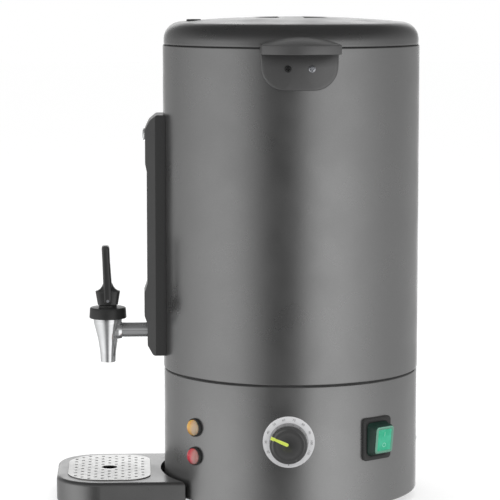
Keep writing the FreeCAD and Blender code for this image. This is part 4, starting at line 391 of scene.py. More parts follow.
wiring, given, out = effect("brushed_metal", {"Color": (0.7, 0.7, 0.7, 1), "Shade": (0.5, 0.5, 0.5, 1),
                                              "Rough": 0.25, "Along": 30.0, "Across": 900.0})
spot = place(wiring)
stretch = wiring.node("ShaderNodeCombineXYZ")
for axis, key in zip("XYZ", ("Along", "Along", "Across")):
    wiring.join(given[key], stretch.inputs[axis])
lines = wiring.node("ShaderNodeVectorMath", operation="MULTIPLY")
wiring.join(spot, lines.inputs[0])
wiring.join(stretch.outputs[0], lines.inputs[1])
streak = noise(wiring, lines.outputs[0], 1.0, 3)
smear = wiring.ramp(noise(wiring, spot, 14, 4), 0.3, 0.75)
wiring.join(wiring.mix(wiring.math("MULTIPLY", streak, 0.6), given["Color"], given["Shade"]), out["Color"])
dulled = wiring.math("MULTIPLY_ADD", streak, 0.16, wiring.math("MULTIPLY", smear, 0.08))
wiring.join(wiring.math("ADD", given["Rough"], dulled), out["Rough"])
wiring.join(streak, out["Height"])

wiring, given, out = effect("moulded_grain", {"Color": (0.05, 0.05, 0.05, 1), "Worn": (0.12, 0.12, 0.12, 1),
                                              "Rough": 0.45, "Scale": 1500.0})
spot = place(wiring)
grain = noise(wiring, spot, given["Scale"], 3)
rubbed = wiring.ramp(noise(wiring, spot, 18, 5), 0.5, 0.8)
edge = wiring.ramp(wiring.node("ShaderNodeNewGeometry").outputs["Pointiness"], 0.51, 0.58)
wear = wiring.math("MULTIPLY_ADD", edge, 0.35, wiring.math("MULTIPLY", rubbed, 0.18))
wiring.join(wiring.mix(wear, given["Color"], given["Worn"]), out["Color"])
dulled = wiring.math("MULTIPLY_ADD", grain, 0.1, wiring.math("MULTIPLY", rubbed, -0.08))
wiring.join(wiring.math("ADD", given["Rough"], dulled), out["Rough"])
wiring.join(grain, out["Height"])


brush_relief = 0.000008


def brushed(name, tone, shade, rough, along=30.0, across=900.0, metallic=1.0):
    return finished(name, "brushed_metal", metallic, 0, brush_relief, Color=tone, Shade=shade, Rough=rough,
                    Along=along, Across=across)


def moulded(name, tone, worn, rough, scale=1500.0, bump=0.00002, coat=0.0):
    return finished(name, "moulded_grain", 0, coat, bump, Color=tone, Worn=worn, Rough=rough, Scale=scale)


def dress(finish, *names):
    """Gives sub-parts of the frame a finish."""
    for name in names:
        nodes[name].data.materials.clear()
        nodes[name].data.materials.append(finish)


zinc = brushed("zinc_plated_steel", (0.62, 0.63, 0.66, 1), (0.48, 0.5, 0.54, 1), 0.32, 60, 300)
rubber = moulded("black_rubber", grey(0.022), grey(0.06), 0.62, 700, 0.00003)
dress(zinc, "base_plate", "foot_screws", "tie_rods", "hex_nuts", "element_clamp", "gauge_bracket",
      "inlet_screws", "thermostat_screws", "thermostat_shaft", "tap_stem", "lever_pin")
dress(rubber, "rubber_foot", "seam_gasket")

# Upper shell. Rolled sheet with the same satin paint, a shade darker than the base, flanged in at the bottom
# onto a dark gasket.

urn_paint = painted("dark_grey_satin_paint", grey(0.27), grey(0.36), 0.3)
shell_bottom, shell_top = 137.2, 474.7
shell_outline = rounded([(flange, shell_bottom), (shell_radius, shell_bottom, 1.8), (shell_radius, shell_top),
                         (133.2, shell_top), (133.2, 138.0, 1.1), (flange, 138.0)])
piece("upper_shell", [cells(turned_upright(shell_outline, 288), loop=True)], "urn", "grey_paint", urn_paint,
      stands_for=["outer_shell"])

# Inner tank, heater and the fittings inside. Brushed stainless steel, cast aluminium, and a copper bulb. The
# tank's rolled rim, which shows as a thin line under the lid, is painted dark as painted shade of the seam
# there.

steel_tone, steel_shade, steel_rough = (0.74, 0.74, 0.73, 1), (0.6, 0.6, 0.6, 1), 0.22
rim_start, rim_full = 0.4735, 0.4742
stainless = brushed("brushed_stainless", steel_tone, steel_shade, steel_rough)
rimmed, rim_wiring, rim_shader, rim_height = new_finish("stainless_with_painted_rim_shade", 1.0, bump=brush_relief)
rim_parts = rim_wiring.node("ShaderNodeSeparateXYZ")
rim_wiring.join(place(rim_wiring), rim_parts.inputs[0])
# painted shade: the top of the rim is mixed to dark grey for the shade in the seam under the lid
rim_painted_shade = rim_wiring.ramp(rim_parts.outputs["Z"], rim_start, rim_full)
rim_steel = use(rim_wiring, "brushed_metal", Color=steel_tone, Shade=steel_shade, Rough=steel_rough)
rim_wiring.join(rim_wiring.mix(rim_painted_shade, rim_steel["Color"], grey(0.12)), rim_shader["Base Color"])
rim_wiring.join(rim_steel["Rough"], rim_shader["Roughness"])
rim_wiring.join(rim_steel["Height"], rim_height)
aluminium = brushed("cast_aluminium", (0.78, 0.78, 0.78, 1), (0.66, 0.66, 0.66, 1), 0.4, 120, 120)
copper = brushed("bare_copper", (0.72, 0.36, 0.22, 1), (0.5, 0.24, 0.15, 1), 0.3, 80, 80)
brass = brushed("turned_brass", (0.75, 0.55, 0.24, 1), (0.6, 0.42, 0.18, 1), 0.28, 80, 400)
silicone = moulded("white_silicone", grey(0.72, 0.01), grey(0.8), 0.5, 900, 0.00001)
cream = moulded("cream_plastic", (0.72, 0.66, 0.5, 1), (0.8, 0.76, 0.64, 1), 0.4)
sleeve = moulded("braided_sleeve", (0.16, 0.12, 0.09, 1), (0.25, 0.2, 0.16, 1), 0.8, 2400, 0.00008)
bakelite = moulded("brown_bakelite", (0.05, 0.032, 0.024, 1), (0.1, 0.07, 0.05, 1), 0.35)
dress(rimmed, "inner_tank")
dress(stainless, "heating_element", "lid_pan")
dress(aluminium, "heat_plate")
dress(copper, "capillary_bulb")
dress(brass, "inlet_pins", "shank_nut")
dress(silicone, "shank_washers", "seat_cup", "gauge_lower_seal", "gauge_top_cap", "lid_seal")
dress(cream, "terminal_block")
dress(sleeve, "wiring_leads")
dress(bakelite, "thermostat_body", "cutout_body")

# Dial. A thin disc with pale silver lacquer, wrapped on the base and printed in grey with the numbers from 20
# to 110 and a dot for off.


def turned_level(outline, count=96, height=0.0):
    """Outline (distance out, radius) carried round a level axis: x = distance, y = r sin t,
    z = height + r cos t."""
    t = np.arange(count) * (2 * math.pi / count)
    x, r = np.asarray(outline, float).T
    return np.stack([np.outer(x, np.ones(count)), np.outer(r, np.sin(t)), height + np.outer(r, np.cos(t))],
                    axis=-1)


def wrapped(points, radius):
    """Bends flat points round the upright drum: their distance out becomes height over the drum's face,
    x = root of ((radius + distance) squared less y squared)."""
    bent = points.copy()
    bent[..., 0] = np.sqrt((radius + points[..., 0]) ** 2 - points[..., 1] ** 2)
    return bent


dial_height, dial_station, dial_radius, print_level = 79.8, -4.4, 26.25, 0.83
dial_metal = brushed("silver_lacquer", (0.88, 0.88, 0.89, 1), (0.8, 0.8, 0.82, 1), 0.38, 200, 200, 0.1)
dial_outline = rounded([(0.12, 5), (0.8, 5), (0.8, dial_radius, 0.3), (0.12, dial_radius)], 3)
dial_disc = wrapped(turned_level(dial_outline, 128, dial_height), base_radius)
piece("dial_disc", [cells(dial_disc, loop=True)], "urn", "printed_silver", dial_metal, dial_station,
      ["dial_plate"])


def inked(name, tone, rough):
    made, _, shader, _ = new_finish(name)
    shader["Base Color"].default_value = tone
    shader["Roughness"].default_value = rough
    return made


def lettered(name, words, body, slot, finish, station, lay):
    """Printed words. Each is (text, size, x, y, turn): flat text, turned and moved in its own plane, then
    laid on the surface by lay, which takes flat (across, up, over) points to the station frame."""
    corners, faces, first, thickness = [], [], 0, 0.015
    for text, size, x, y, degrees in words:
        curve = bpy.data.curves.new(name, "FONT")
        curve.body, curve.size, curve.extrude = text, size, thickness
        curve.align_x = curve.align_y = "CENTER"
        holder = bpy.data.objects.new(name, curve)
        scene.collection.objects.link(holder)
        bpy.context.view_layer.update()
        flat = bpy.data.meshes.new_from_object(holder.evaluated_get(bpy.context.evaluated_depsgraph_get()))
        bpy.data.objects.remove(holder)
        spots = np.empty(len(flat.vertices) * 3)
        flat.vertices.foreach_get("co", spots)
        spots = spots.reshape(-1, 3)
        a = math.radians(degrees)
        spots = np.stack([x + spots[:, 0] * math.cos(a) - spots[:, 1] * math.sin(a),
                          y + spots[:, 0] * math.sin(a) + spots[:, 1] * math.cos(a), spots[:, 2]], axis=-1)
        corners.append(lay(spots))
        faces += [[first + k for k in face.vertices] for face in flat.polygons]
        first += len(spots)
    piece(name, [(np.concatenate(corners), faces)], body, slot, finish, station)


def on_dial(spots):
    flat = np.stack([spots[:, 2] + print_level, spots[:, 0], dial_height + spots[:, 1]], axis=-1)
    return wrapped(flat, base_radius)


first_lean, lean_step, number_size, number_circle, dot_size, dot_circle = -117, 26, 3.3, 23.1, 5.5, 23.4
dial_words = []
for k in range(10):
    lean = first_lean + lean_step * k
    turn_of = math.radians(lean)
    dial_words.append((str(20 + 10 * k), number_size, number_circle * math.sin(turn_of),
                       number_circle * math.cos(turn_of), -lean))
dial_words.append(("•", dot_size, 0, -dot_circle, 0))
lettered("dial_numbers", dial_words, "urn", "printed_silver", inked("grey_ink", grey(0.36), 0.6),
         dial_station, on_dial)

# Knob. A dark glossy moulding with a tapered skirt and a slightly dished front. Its lime pointer is a second
# moulding let into the front, which ends just over the rim.

black = moulded("black_moulding", grey(0.028), grey(0.1), 0.34, 1800, 0.000012)
knob_back, knob_front, knob_radius, knob_nose = 134.8, 152.8, 20, 18.9
knob_dish, knob_wall, knob_hollow, shaft_bore = 0.9, 3, 6, 3.05
on_axis = 0.001
knob_outline = rounded([(knob_back, 17), (knob_back, knob_radius, 0.6), (knob_back + 2.4, knob_radius, 0.5),
                        (knob_front, knob_nose, 1), (knob_front, 17.1, 0.6), (knob_front - 0.7, 15.6, 1.5),
                        (knob_front - knob_dish, on_axis), (knob_front - knob_wall, on_axis),
                        (knob_front - knob_wall, shaft_bore), (knob_back + knob_hollow, shaft_bore),
                        (knob_back + knob_hollow, 17)], 4)
knob_finish = moulded("dark_glossy_moulding", grey(0.062), grey(0.16), 0.2, 1800, 0.000006, 0.7)
piece("knob", [cells(turned_level(knob_outline, 128, dial_height), loop=True)], "knob", "black_plastic",
      knob_finish, dial_station, ["thermostat_knob"])
pointer_lean, pointer_width, pointer_depth, pointer_crown = 66.5, 3.4, 0.7, 0.22
lime = moulded("lime_moulding", (0.72, 0.85, 0.12, 1), (0.8, 0.9, 0.3, 1), 0.35, 900, 0.000005)


def pointer():
    """Bar that follows the knob's front and flank. Rows are even steps on the path from the knob's middle
    over its rim; each row is a loop: the bar's width across, let in below the surface and crowned above it.
    Near the middle the width follows a half circle."""
    corners = rounded([(knob_front - knob_dish, 0.1), (knob_front - knob_dish, 15, 1.2),
                       (knob_front, 16.9, 0.8), (knob_front, knob_nose, 1), (knob_front - 3, 19.1)], 5)
    length = np.concatenate([[0], np.cumsum(np.linalg.norm(np.diff(corners, axis=0), axis=1))])
    at = np.linspace(0, length[-1], 100)
    path = np.stack([np.interp(at, length, corners[:, k]) for k in range(2)], axis=-1)
    step = np.gradient(path, axis=0)
    step /= np.linalg.norm(step, axis=1)[:, None]
    normal = np.stack([step[:, 1], -step[:, 0]], axis=-1)
    across = np.concatenate([np.linspace(-1, 1, 9), np.linspace(1, -1, 9)]) * pointer_width / 2
    over = np.concatenate([pointer_crown - 0.12 * np.linspace(-1, 1, 9) ** 4, np.full(9, -pointer_depth)])
    narrow = np.sqrt(1 - (1 - np.clip((at + 0.05) * 2 / pointer_width, 0, 1)) ** 2)
    x = path[:, :1] + normal[:, :1] * over
    r = path[:, 1:] + normal[:, 1:] * over
    side = across[None] * narrow[:, None]
    lean = math.radians(pointer_lean)
    y = -r * math.sin(lean) + side * math.cos(lean)
    z = dial_height + r * math.cos(lean) + side * math.sin(lean)
    return np.stack([x, y, z], axis=-1)


piece("pointer", [cells(pointer(), ends=True)], "knob", "lime_plastic", lime, dial_station, ["knob_pointer"])

# Signal lamps. Black threaded bodies with round bezels; the amber and red caps are clear moulded domes
# over a diffuser.

lamp_station = -50.5


def sideways_from(wiring, spot, station):
    """Distance along the wall from a station: y cos a - x sin a."""
    made = wiring.node("ShaderNodeVectorMath", operation="DOT_PRODUCT")
    wiring.join(spot, made.inputs[0])
    angle = math.radians(station)
    made.inputs[1].default_value = (-math.sin(angle), math.cos(angle), 0)
    return made.outputs["Value"]


def jewel_with_painted_light(name, tone, deep, pale):
    """Clear dome: its colour is full and cloudy on one side and painted paler towards the other, a painted
    reflection.
    """
    made, wiring, shader, height = new_finish(name, coat=1.0, bump=0.0001)
    spot = place(wiring)
    cloud = noise(wiring, spot, 160, 2)
    full = wiring.mix(wiring.ramp(cloud, 0.35, 0.65, 0, 0.5), tone, deep)
    # painted reflection: the dome turns paler along the wall to one side of the lamp's station
    side = wiring.math("MULTIPLY_ADD", cloud, 0.002, sideways_from(wiring, spot, lamp_station))
    wiring.join(wiring.mix(wiring.ramp(side, -0.0015, 0.0065, 0, 0.8), full, pale), shader["Base Color"])
    shader["Roughness"].default_value = 0.22
    shader["Subsurface Weight"].default_value = 0.3
    shader["Subsurface Scale"].default_value = 0.002
    wiring.join(noise(wiring, spot, 900, 1), height)
    return made


def domed(foot, rise, reach, count):
    """Outline of a dome, a quarter of an ellipse: distance out = foot + rise sin t, radius = reach cos t."""
    t = np.linspace(0, 1, count) * math.pi / 2
    return np.stack([foot + rise * np.sin(t), reach * np.cos(t) + on_axis], axis=-1)


# The third colour of each cap is painted reflection: the pale side stands in for light caught in the dome.
amber = jewel_with_painted_light("amber_cap", (0.85, 0.47, 0.08, 1), (0.7, 0.3, 0.03, 1), (0.5, 0.42, 0.34, 1))
red = jewel_with_painted_light("red_cap", (0.72, 0.03, 0.06, 1), (0.4, 0.01, 0.02, 1), (0.5, 0.3, 0.27, 1))
lamp_seat, bezel_face = 135.2, 136.75
lamp_outline = rounded([(109.5, on_axis), (109.5, 5.8, 0.6), (133.6, 5.8), (133.6, 9.7, 0.3),
                        (bezel_face, 9.3, 0.6), (bezel_face, 8.5, 0.3), (lamp_seat, 8.35),
                        (lamp_seat, on_axis)], 5)
cap_outline = np.concatenate([[(135.25, on_axis), (135.25, 8.18)], domed(137.0, 4.5, 8.2, 14)])
for word, height, slot, finish in (("ready", 86.6, "amber_plastic", amber),
                                   ("power", 56.8, "red_plastic", red)):
    piece(f"{word}_bezel", [cells(turned_level(lamp_outline, 72, height), loop=True)], "urn", "black_plastic",
          black, lamp_station, [f"{word}_lamp_body"])
    piece(f"{word}_cap", [cells(turned_level(cap_outline, 72, height), loop=True)], "urn", slot, finish,
          lamp_station, [f"{word}_lamp_lens"], 50)

# Main switch. Black framed body clipped into the wall, a green rocker, and over it a soft splash cover with a
# skirt whose dark green is painted shade, a paler raised rim and a clear green window.

switch_height, switch_station = 78.0, 37.2
cover_foot, cover_depth, cover_lean, mark_level = 137, 8, 0.1, 146.33


def plate_loop(x, half_width, half_height, corner):
    """One row: a rounded rectangle that faces out at distance x, always with the same number of points."""
    flat = rounded([(-half_width, -half_height, corner), (half_width, -half_height, corner),
                    (half_width, half_height, corner), (-half_width, half_height, corner)], 6)
    return np.stack([np.full(len(flat), float(x)), flat[:, 0], switch_height + flat[:, 1]], axis=-1)


frame_rows = [(106.5, 14.9, 17.9, 0.6), (106.6, 15.5, 18.5, 1), (131, 15.5, 18.5, 1), (131, 18.3, 21.8, 4),
              (134.9, 18.5, 22, 4), (135.9, 18.3, 21.8, 4), (136.3, 17.9, 21.4, 3.8),
              (136.5, 17.2, 20.7, 3.5), (136.5, 15.1, 17.6, 5.2), (136.3, 14.7, 17.2, 5.1),
              (135.0, 14.6, 17.1, 5), (135.0, 9.1, 13.1, 0.6), (116.5, 9.1, 13.1, 0.6)]
piece("switch_body", [cells(np.stack([plate_loop(*row) for row in frame_rows]), ends=True)], "urn",
      "black_plastic", black, switch_station, ["switch_frame"], 50)


def leaning(rows, close):
    """Rows of the splash cover. The rocker pushes the cover's top out, so a point beyond the skirt's foot
    moves out by lean (height above the middle) (share of the way to the rim)."""
    loops = np.stack([plate_loop(*row) for row in rows])
    share = np.clip((loops[..., 0] - cover_foot) / cover_depth, 0, 1)
    loops[..., 0] += cover_lean * (loops[..., 2] - switch_height) * share
    return [cells(loops, loop=not close, ends=close)]


skirt_rows = [(145, 10, 12, 2.6), (145.9, 11.2, 13.2, 3.2), (145.8, 12, 14, 3.8), (144.5, 12.8, 14.9, 4.4),
              (139, 13.6, 15.9, 4.7), (137, 14.4, 16.9, 4.9), (135.1, 14.5, 17, 5), (135.1, 13.6, 16.1, 4.2),
              (137, 13.4, 15.9, 4.1), (139, 12.7, 15.1, 3.9), (144, 11.6, 13.6, 3.4)]
# painted shade: the skirt's dark green stands in for the shade on the cover's sides
piece("splash_skirt", leaning(skirt_rows, False), "urn", "green_plastic",
      moulded("green_rubber_painted_dark_as_shade", (0.012, 0.035, 0.026, 1), (0.03, 0.08, 0.06, 1), 0.3, 900),
      switch_station, ["switch_cover"], 50)
rim_rows = [(146.4, 9.1, 11.1, 1.4), (146.5, 9.5, 11.5, 1.6), (147.1, 9.9, 11.9, 1.8),
            (147.2, 10.5, 12.4, 2.2), (147.1, 11.1, 13, 2.6), (146.7, 11.5, 13.4, 2.9),
            (145.9, 11.7, 13.7, 3.2), (145.6, 9.1, 11.1, 1.4)]
piece("splash_rim", leaning(rim_rows, False), "urn", "green_plastic",
      moulded("pale_green_rubber", (0.16, 0.38, 0.28, 1), (0.3, 0.52, 0.42, 1), 0.25, 600),
      switch_station, (), 50)
window, window_wiring, window_shader, window_height = new_finish("clear_green_film", coat=0.4, bump=0.00003)
window_spot = place(window_wiring)
window_cloud = window_wiring.ramp(noise(window_wiring, window_spot, 90, 3), 0.35, 0.7)
window_wiring.join(window_wiring.mix(window_cloud, (0.03, 0.6, 0.33, 1), (0.08, 0.72, 0.44, 1)),
                   window_shader["Base Color"])
window_wiring.join(noise(window_wiring, window_spot, 500, 2), window_height)
window_shader["Roughness"].default_value = 0.2
window_shader["Alpha"].default_value = 0.8
window_rows = [(146.3, 4, 6, 0.5), (146.3, 9.05, 11.05, 1.35), (145.7, 9.05, 11.05, 1.35), (145.7, 4, 6, 0.5)]
piece("splash_window", leaning(window_rows, True), "urn", "green_plastic", window, switch_station, (), 50)


def on_window(spots):
    out = mark_level + spots[:, 2] + cover_lean * spots[:, 1]
    return np.stack([out, spots[:, 0], switch_height + spots[:, 1]], axis=-1)


lettered("switch_marks", [("I", 6.5, 0, 5.6, 0), ("O", 6.5, 0, -5.6, 0)], "urn", "green_plastic",
         inked("pale_green_ink", (0.3, 0.8, 0.6, 1), 0.4), switch_station, on_window)
green = moulded("green_moulding", (0.04, 0.62, 0.33, 1), (0.12, 0.7, 0.44, 1), 0.3, 800, 0.000005, 0.5)
dress(green, "switch_rocker")

# Mains inlet and boil-dry reset, at the rear. Black socket with brass pins; the reset button is red in a
# nickel collar.

moulding = moulded("dull_black_moulding", grey(0.03), grey(0.09), 0.5)
bright_chrome, chrome_wiring, chrome_shader, _ = new_finish("polished_chrome", metallic=0.82)
chrome_spot = place(chrome_wiring)
chrome_smear = chrome_wiring.ramp(noise(chrome_wiring, chrome_spot, 30, 5), 0.35, 0.75, 0.04, 0.12)
chrome_shader["Base Color"].default_value = (0.92, 0.93, 0.94, 1)
chrome_wiring.join(chrome_smear, chrome_shader["Roughness"])
dress(moulding, "power_inlet")
dress(bright_chrome, "cutout_collar")
red_button = moulded("red_moulding", (0.6, 0.03, 0.03, 1), (0.7, 0.1, 0.1, 1), 0.35)
dress(red_button, "reset_button")

# Tap. Chromed brass shank, socket and conical body, a black bonnet, and a black lever whose blade stands on
# a waisted foot.

tap_out, tap_height, glass_out = 192.8, 175.5, 141.5
shank = rounded([(98.2, 5), (98.2, 8.1), (115.05, 8.1), (115.05, 13), (118.05, 13), (118.05, 8.1),
                 (180.8, 8.1), (180.8, 5)])
tee = rounded([(3, tap_height), (7.1, tap_height), (7.1, 196.5, 0.4), (6.05, 196.5), (6.05, 186.5),
               (3, 186.5)], 3)
piece("shank", [cells(turned_level(shank, 96, tap_height), loop=True),
                cells(turned_upright(tee, 64, glass_out), loop=True)], "urn", "chrome_plate", bright_chrome,
      -90, ["tap_shank"])
body_outline = rounded([(8, 141.9, 0.6), (8.5, 152.5, 60), (10.6, 166, 60), (15.1, 184, 14),
                        (15.4, 188.5, 0.5), (13.4, 188.5), (13.4, 195), (11, 195), (11, 179.5),
                        (8.2, 173.5), (8.2, 164.5), (6, 164.5), (6, 141.9, 0.6)], 10)
socket = rounded([(177.8, 8.15), (177.8, 9.4, 0.6), (181.5, 10.3, 1), (186.5, 10.3), (186.5, 8.15)], 4)
piece("tap_cone", [cells(turned_upright(body_outline, 128, tap_out), loop=True),
                   cells(turned_level(socket, 96, tap_height), loop=True)], "urn", "chrome_plate",
      bright_chrome, -90, ["tap_body"])
bonnet = rounded([(13.45, 188.55), (19.65, 188.55, 1), (18.9, 199.95, 1.6), (9.5, 199.95, 0.4),
                  (9.5, 202.35, 0.5), (3.05, 202.35), (3.05, 196.5), (13.45, 196.5)], 5)
piece("bonnet", [cells(turned_upright(bonnet, 128, tap_out), loop=True)], "urn", "black_plastic", black, -90,
      ["tap_bonnet"])


def lever_row(z, middle, half_out, half_side, power):
    """One row: a rounded cross-section, the superellipse of the given power, at height z."""
    t = np.arange(48) * (2 * math.pi / 48)
    x = np.sign(np.cos(t)) * np.abs(np.cos(t)) ** (2 / power) * half_out
    y = np.sign(np.sin(t)) * np.abs(np.sin(t)) ** (2 / power) * half_side
    return np.stack([tap_out + middle + x, y, np.full(48, float(z))], axis=-1)


foot_rows = [(202.7, 0, 10.2, 6.3, 3.2), (202.9, 0, 10.7, 6.8, 3.2), (208, 0, 11.6, 7.1, 3.2),
             (213, 0, 12.4, 7.2, 3.2), (216.6, 0, 13.0, 7.2, 3.2), (217.2, 0, 12.8, 7, 3.2),
             (217.4, 0, 12.2, 6.8, 3.2), (218, 0, 10.4, 6.4, 3), (219.4, 0, 8.2, 6, 3), (222, 0, 6.2, 5.6, 3),
             (226, 0, 4.4, 5.4, 3)]
blade_rows = [(203.2, 0, 4.1, 7.3, 4), (203.6, 0, 4.5, 7.7, 4), (210, 0, 4.7, 7.9, 4), (218, 0, 4.9, 8, 4),
              (226, 0.3, 4.6, 8, 4), (236, 0.8, 4.4, 8.2, 4), (248, 1.4, 4.2, 8.5, 4),
              (258, 1.8, 4.2, 8.8, 4), (262, 2.0, 4.2, 8.9, 4), (264.2, 2.1, 3.8, 8.4, 3.6),
              (265.1, 2.2, 2.8, 7.2, 3.2), (265.3, 2.2, 1.4, 5, 3)]
lever_parts = [cells(np.stack([lever_row(*row) for row in rows]), ends=True)
               for rows in (foot_rows, blade_rows)]
lever_finish = moulded("satin_black_moulding", grey(0.035), grey(0.12), 0.3, 1400, 0.00001, 0.3)
piece("lever", lever_parts, "lever", "black_plastic", lever_finish, -90, ["tap_lever"], 60)

# Closing spring of the tap. A helix of zinc-plated wire between the stem's collar and the bonnet. On the
# real tap it shortens towards the bonnet as the valve lifts; here it keeps one shape.

spring_low, spring_high, spring_radius, wire, turns = 173.7, 196.4, 5.6, 0.58, 5


def coil():
    """Tube round a helix. Its middle runs at angle t: (r cos t, r sin t, height in proportion to t); each row
    is a circle of the wire's radius across the helix."""
    t = np.linspace(0, turns * 2 * math.pi, turns * 36 + 1)[:, None]
    rise = (spring_high - spring_low - 2 * wire - 0.2) / (turns * 2 * math.pi)
    pitch = math.atan2(rise, spring_radius)
    around = np.arange(10) * (2 * math.pi / 10)
    out_by, up_by = wire * np.cos(around), wire * np.sin(around)
    r = spring_radius + out_by
    along = -up_by * math.sin(pitch)
    x = r * np.cos(t) - along * np.sin(t)
    y = r * np.sin(t) + along * np.cos(t)
    z = spring_low + wire + 0.1 + rise * t + up_by * math.cos(pitch)
    return np.stack([tap_out + x, y, z], axis=-1)


spring = piece("closing_spring", [cells(coil(), ends=True)], "urn", "zinc_steel", zinc, -90, ["tap_spring"])
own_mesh(spring)

# Level gauge. A dark satin housing over the glass tube, held at the top by a domed chrome screw.

dress(painted("satin_dark_housing", grey(0.085), grey(0.12), 0.4, 0.7), "gauge_housing")
glass = inked("clear_glass", (0.95, 0.98, 0.97, 1), 0.02)
glass.node_tree.nodes["Principled BSDF"].inputs["Transmission Weight"].default_value = 1.0
dress(glass, "gauge_glass")
cap_screw_height, cap_screw_radius = 382, 6.7
screw_rows = np.concatenate([[(136, on_axis), (136, 2.5), (152.95, 2.5), (152.95, cap_screw_radius)],
                             domed(153.75, 2.2, cap_screw_radius, 12)])
piece("gauge_screw", [cells(turned_level(screw_rows, 72, cap_screw_height), loop=True)], "urn",
      "chrome_plate", bright_chrome, -90, ["gauge_cap_screw"])

# Handles. Moulded plates in a darker satin grey, wrapped on the shell, each with a bowed grip shelf that is
# hollow underneath. Two pan-head screws hold each, one black and one bright.

handle_finish = painted("satin_grey_handle", grey(0.155), grey(0.2), 0.42, 0.7)
grip_low, grip_half, grip_front, grip_brow, grip_rise = 470.5, 39.3, 178.5, 479.85, 7.2
bow_radius, grip_soft, grip_foot, grip_wall = 59.0, 0.9, 1.2, 3
hollow_in, hollow_half, hollow_depth = 142.0, 36.3, 6.5
plate_back, plate_face, plate_top, plate_low, plate_side, plate_middle = 134.2, 138, 473.2, 434, 37.5, 456.0


def handle_plate():
    """Shield wrapped on the shell. Its outline's loops shrink towards one point in the middle, the first ones
    over a rounded edge; each point's distance out is the root of (radius squared less y squared)."""
    outline = rounded([(-grip_half, plate_top), (-plate_side, plate_low, 24), (plate_side, plate_low, 24),
                       (grip_half, plate_top)], 20)
    middle = np.array([0.0, plate_middle])
    loops = []
    for radius, inset in ((plate_back, 0), (136.6, 0), (137.3, 0.2), (137.8, 0.7), (plate_face, 1.4)):
        reach = np.linalg.norm(outline - middle, axis=1)[:, None]
        loops.append((radius, middle + (outline - middle) * (1 - inset / reach)))
    face = loops[-1][1]
    loops += [(plate_face, middle + (face - middle) * share) for share in np.linspace(1, 0.02, 14)[1:]]
    return np.stack([np.stack([np.sqrt(radius ** 2 - flat[:, 0] ** 2), flat[:, 0], flat[:, 1]], axis=-1)
                     for radius, flat in loops])


def grip_top(x, y):
    """Height of the grip's top. It starts level along the front edge and rises inwards by rise (1 - (1 -
    share) to the 2.5) (1 - (y / half) squared), where share runs from the front to the shell."""
    front = grip_front - bow_radius + math.sqrt(bow_radius ** 2 - y ** 2)
    share = np.clip((front - x) / (front - math.sqrt(plate_back ** 2 - y ** 2)), 0, 1)
    return grip_brow + grip_rise * (1 - (1 - share) ** 2.5) * (1 - (y / grip_half) ** 2)


def grip_section(y, hollow):
    """One row: the closed section at a distance y from the grip's middle, drawn in at the sides' edge."""
    soft = grip_soft
    inset = soft - math.sqrt(max(soft ** 2 - max(abs(y) - (grip_half - soft), 0) ** 2, 0))
    back = math.sqrt(plate_back ** 2 - y ** 2)
    front = grip_front - bow_radius + math.sqrt(bow_radius ** 2 - y ** 2) - inset
    inner_bow = math.sqrt((bow_radius - grip_wall) ** 2 - min(abs(y), hollow_half) ** 2)
    inner = grip_front - bow_radius + inner_bow
    low = grip_low + inset
    roof = low + hollow_depth if hollow else low
    bend = np.linspace(0, math.pi / 2, 6)
    under = [(back, low), (hollow_in, low), (hollow_in, roof), (inner, roof), (inner, low)]
    foot = np.stack([front - grip_foot + grip_foot * np.sin(bend),
                     low + grip_foot - grip_foot * np.cos(bend)], axis=-1)
    edge = float(grip_top(front, y)) - inset
    brow = np.stack([front - soft + soft * np.cos(bend), edge - soft + soft * np.sin(bend)], axis=-1)
    x = np.linspace(front - soft, back, 22)[1:]
    top = np.stack([x, np.maximum(grip_top(x, y) - inset, edge)], axis=-1)
    flat = np.concatenate([under, foot, brow, top])
    return np.stack([flat[:, 0], np.full(len(flat), float(y)), flat[:, 1]], axis=-1)


side_steps = grip_half - grip_soft + grip_soft * np.sin(np.linspace(0, math.pi / 2, 6))
inner_steps = np.concatenate([np.linspace(0, 36.2, 30), [hollow_half]])
steps = [(y, True) for y in inner_steps] + [(36.31, False)] + [(y, False) for y in side_steps]
steps = [(-y, hollow) for y, hollow in steps[:0:-1]] + steps
grip = np.stack([grip_section(y, hollow) for y, hollow in steps])
for station, word in ((0, "right"), (180, "left")):
    piece(f"grip_{word}", [cells(grip, ends=True), cells(handle_plate(), ends=True)], "urn", "black_plastic",
          handle_finish, station, [f"handle_{word}"], 40)


screw_seat, screw_aside, screw_height, screw_radius = 137.25, 12, 455.5, 3.45
head_rise, head_fall, cross_depth, cross_half, cross_reach = 2.0, 0.9, 1.3, 0.75, 2.3
stem_radius, stem_length = 2, 12.0


def cross_head(y):
    """Pan-head screw with a cross recess. The face is a grid over radius and angle: a flat dome whose height
    falls to a rounded rim, less a cross-shaped dip where the nearer arm is thinner than its half width."""
    t = np.arange(96) * (2 * math.pi / 96)
    r = np.linspace(0, screw_radius, 30)[:, None]
    u, v = np.abs(r * np.cos(t)), np.abs(r * np.sin(t))
    arm = (np.clip((cross_half - np.minimum(u, v)) / 0.2, 0, 1)
           * np.clip((cross_reach - np.maximum(u, v)) / 0.35, 0, 1))
    face = head_rise - head_fall * (r / screw_radius) ** 4 + np.zeros_like(u) - cross_depth * arm
    grid = np.stack([screw_seat + face, y + r * np.cos(t), screw_height + r * np.sin(t)], axis=-1)
    rings = [np.stack([np.full(96, x), y + radius * np.cos(t), screw_height + radius * np.sin(t)], axis=-1)
             for x, radius in ((screw_seat, screw_radius), (screw_seat, stem_radius),
                               (screw_seat - stem_length, stem_radius))]
    return cells(np.concatenate([grid, np.stack(rings)]), ends=True)


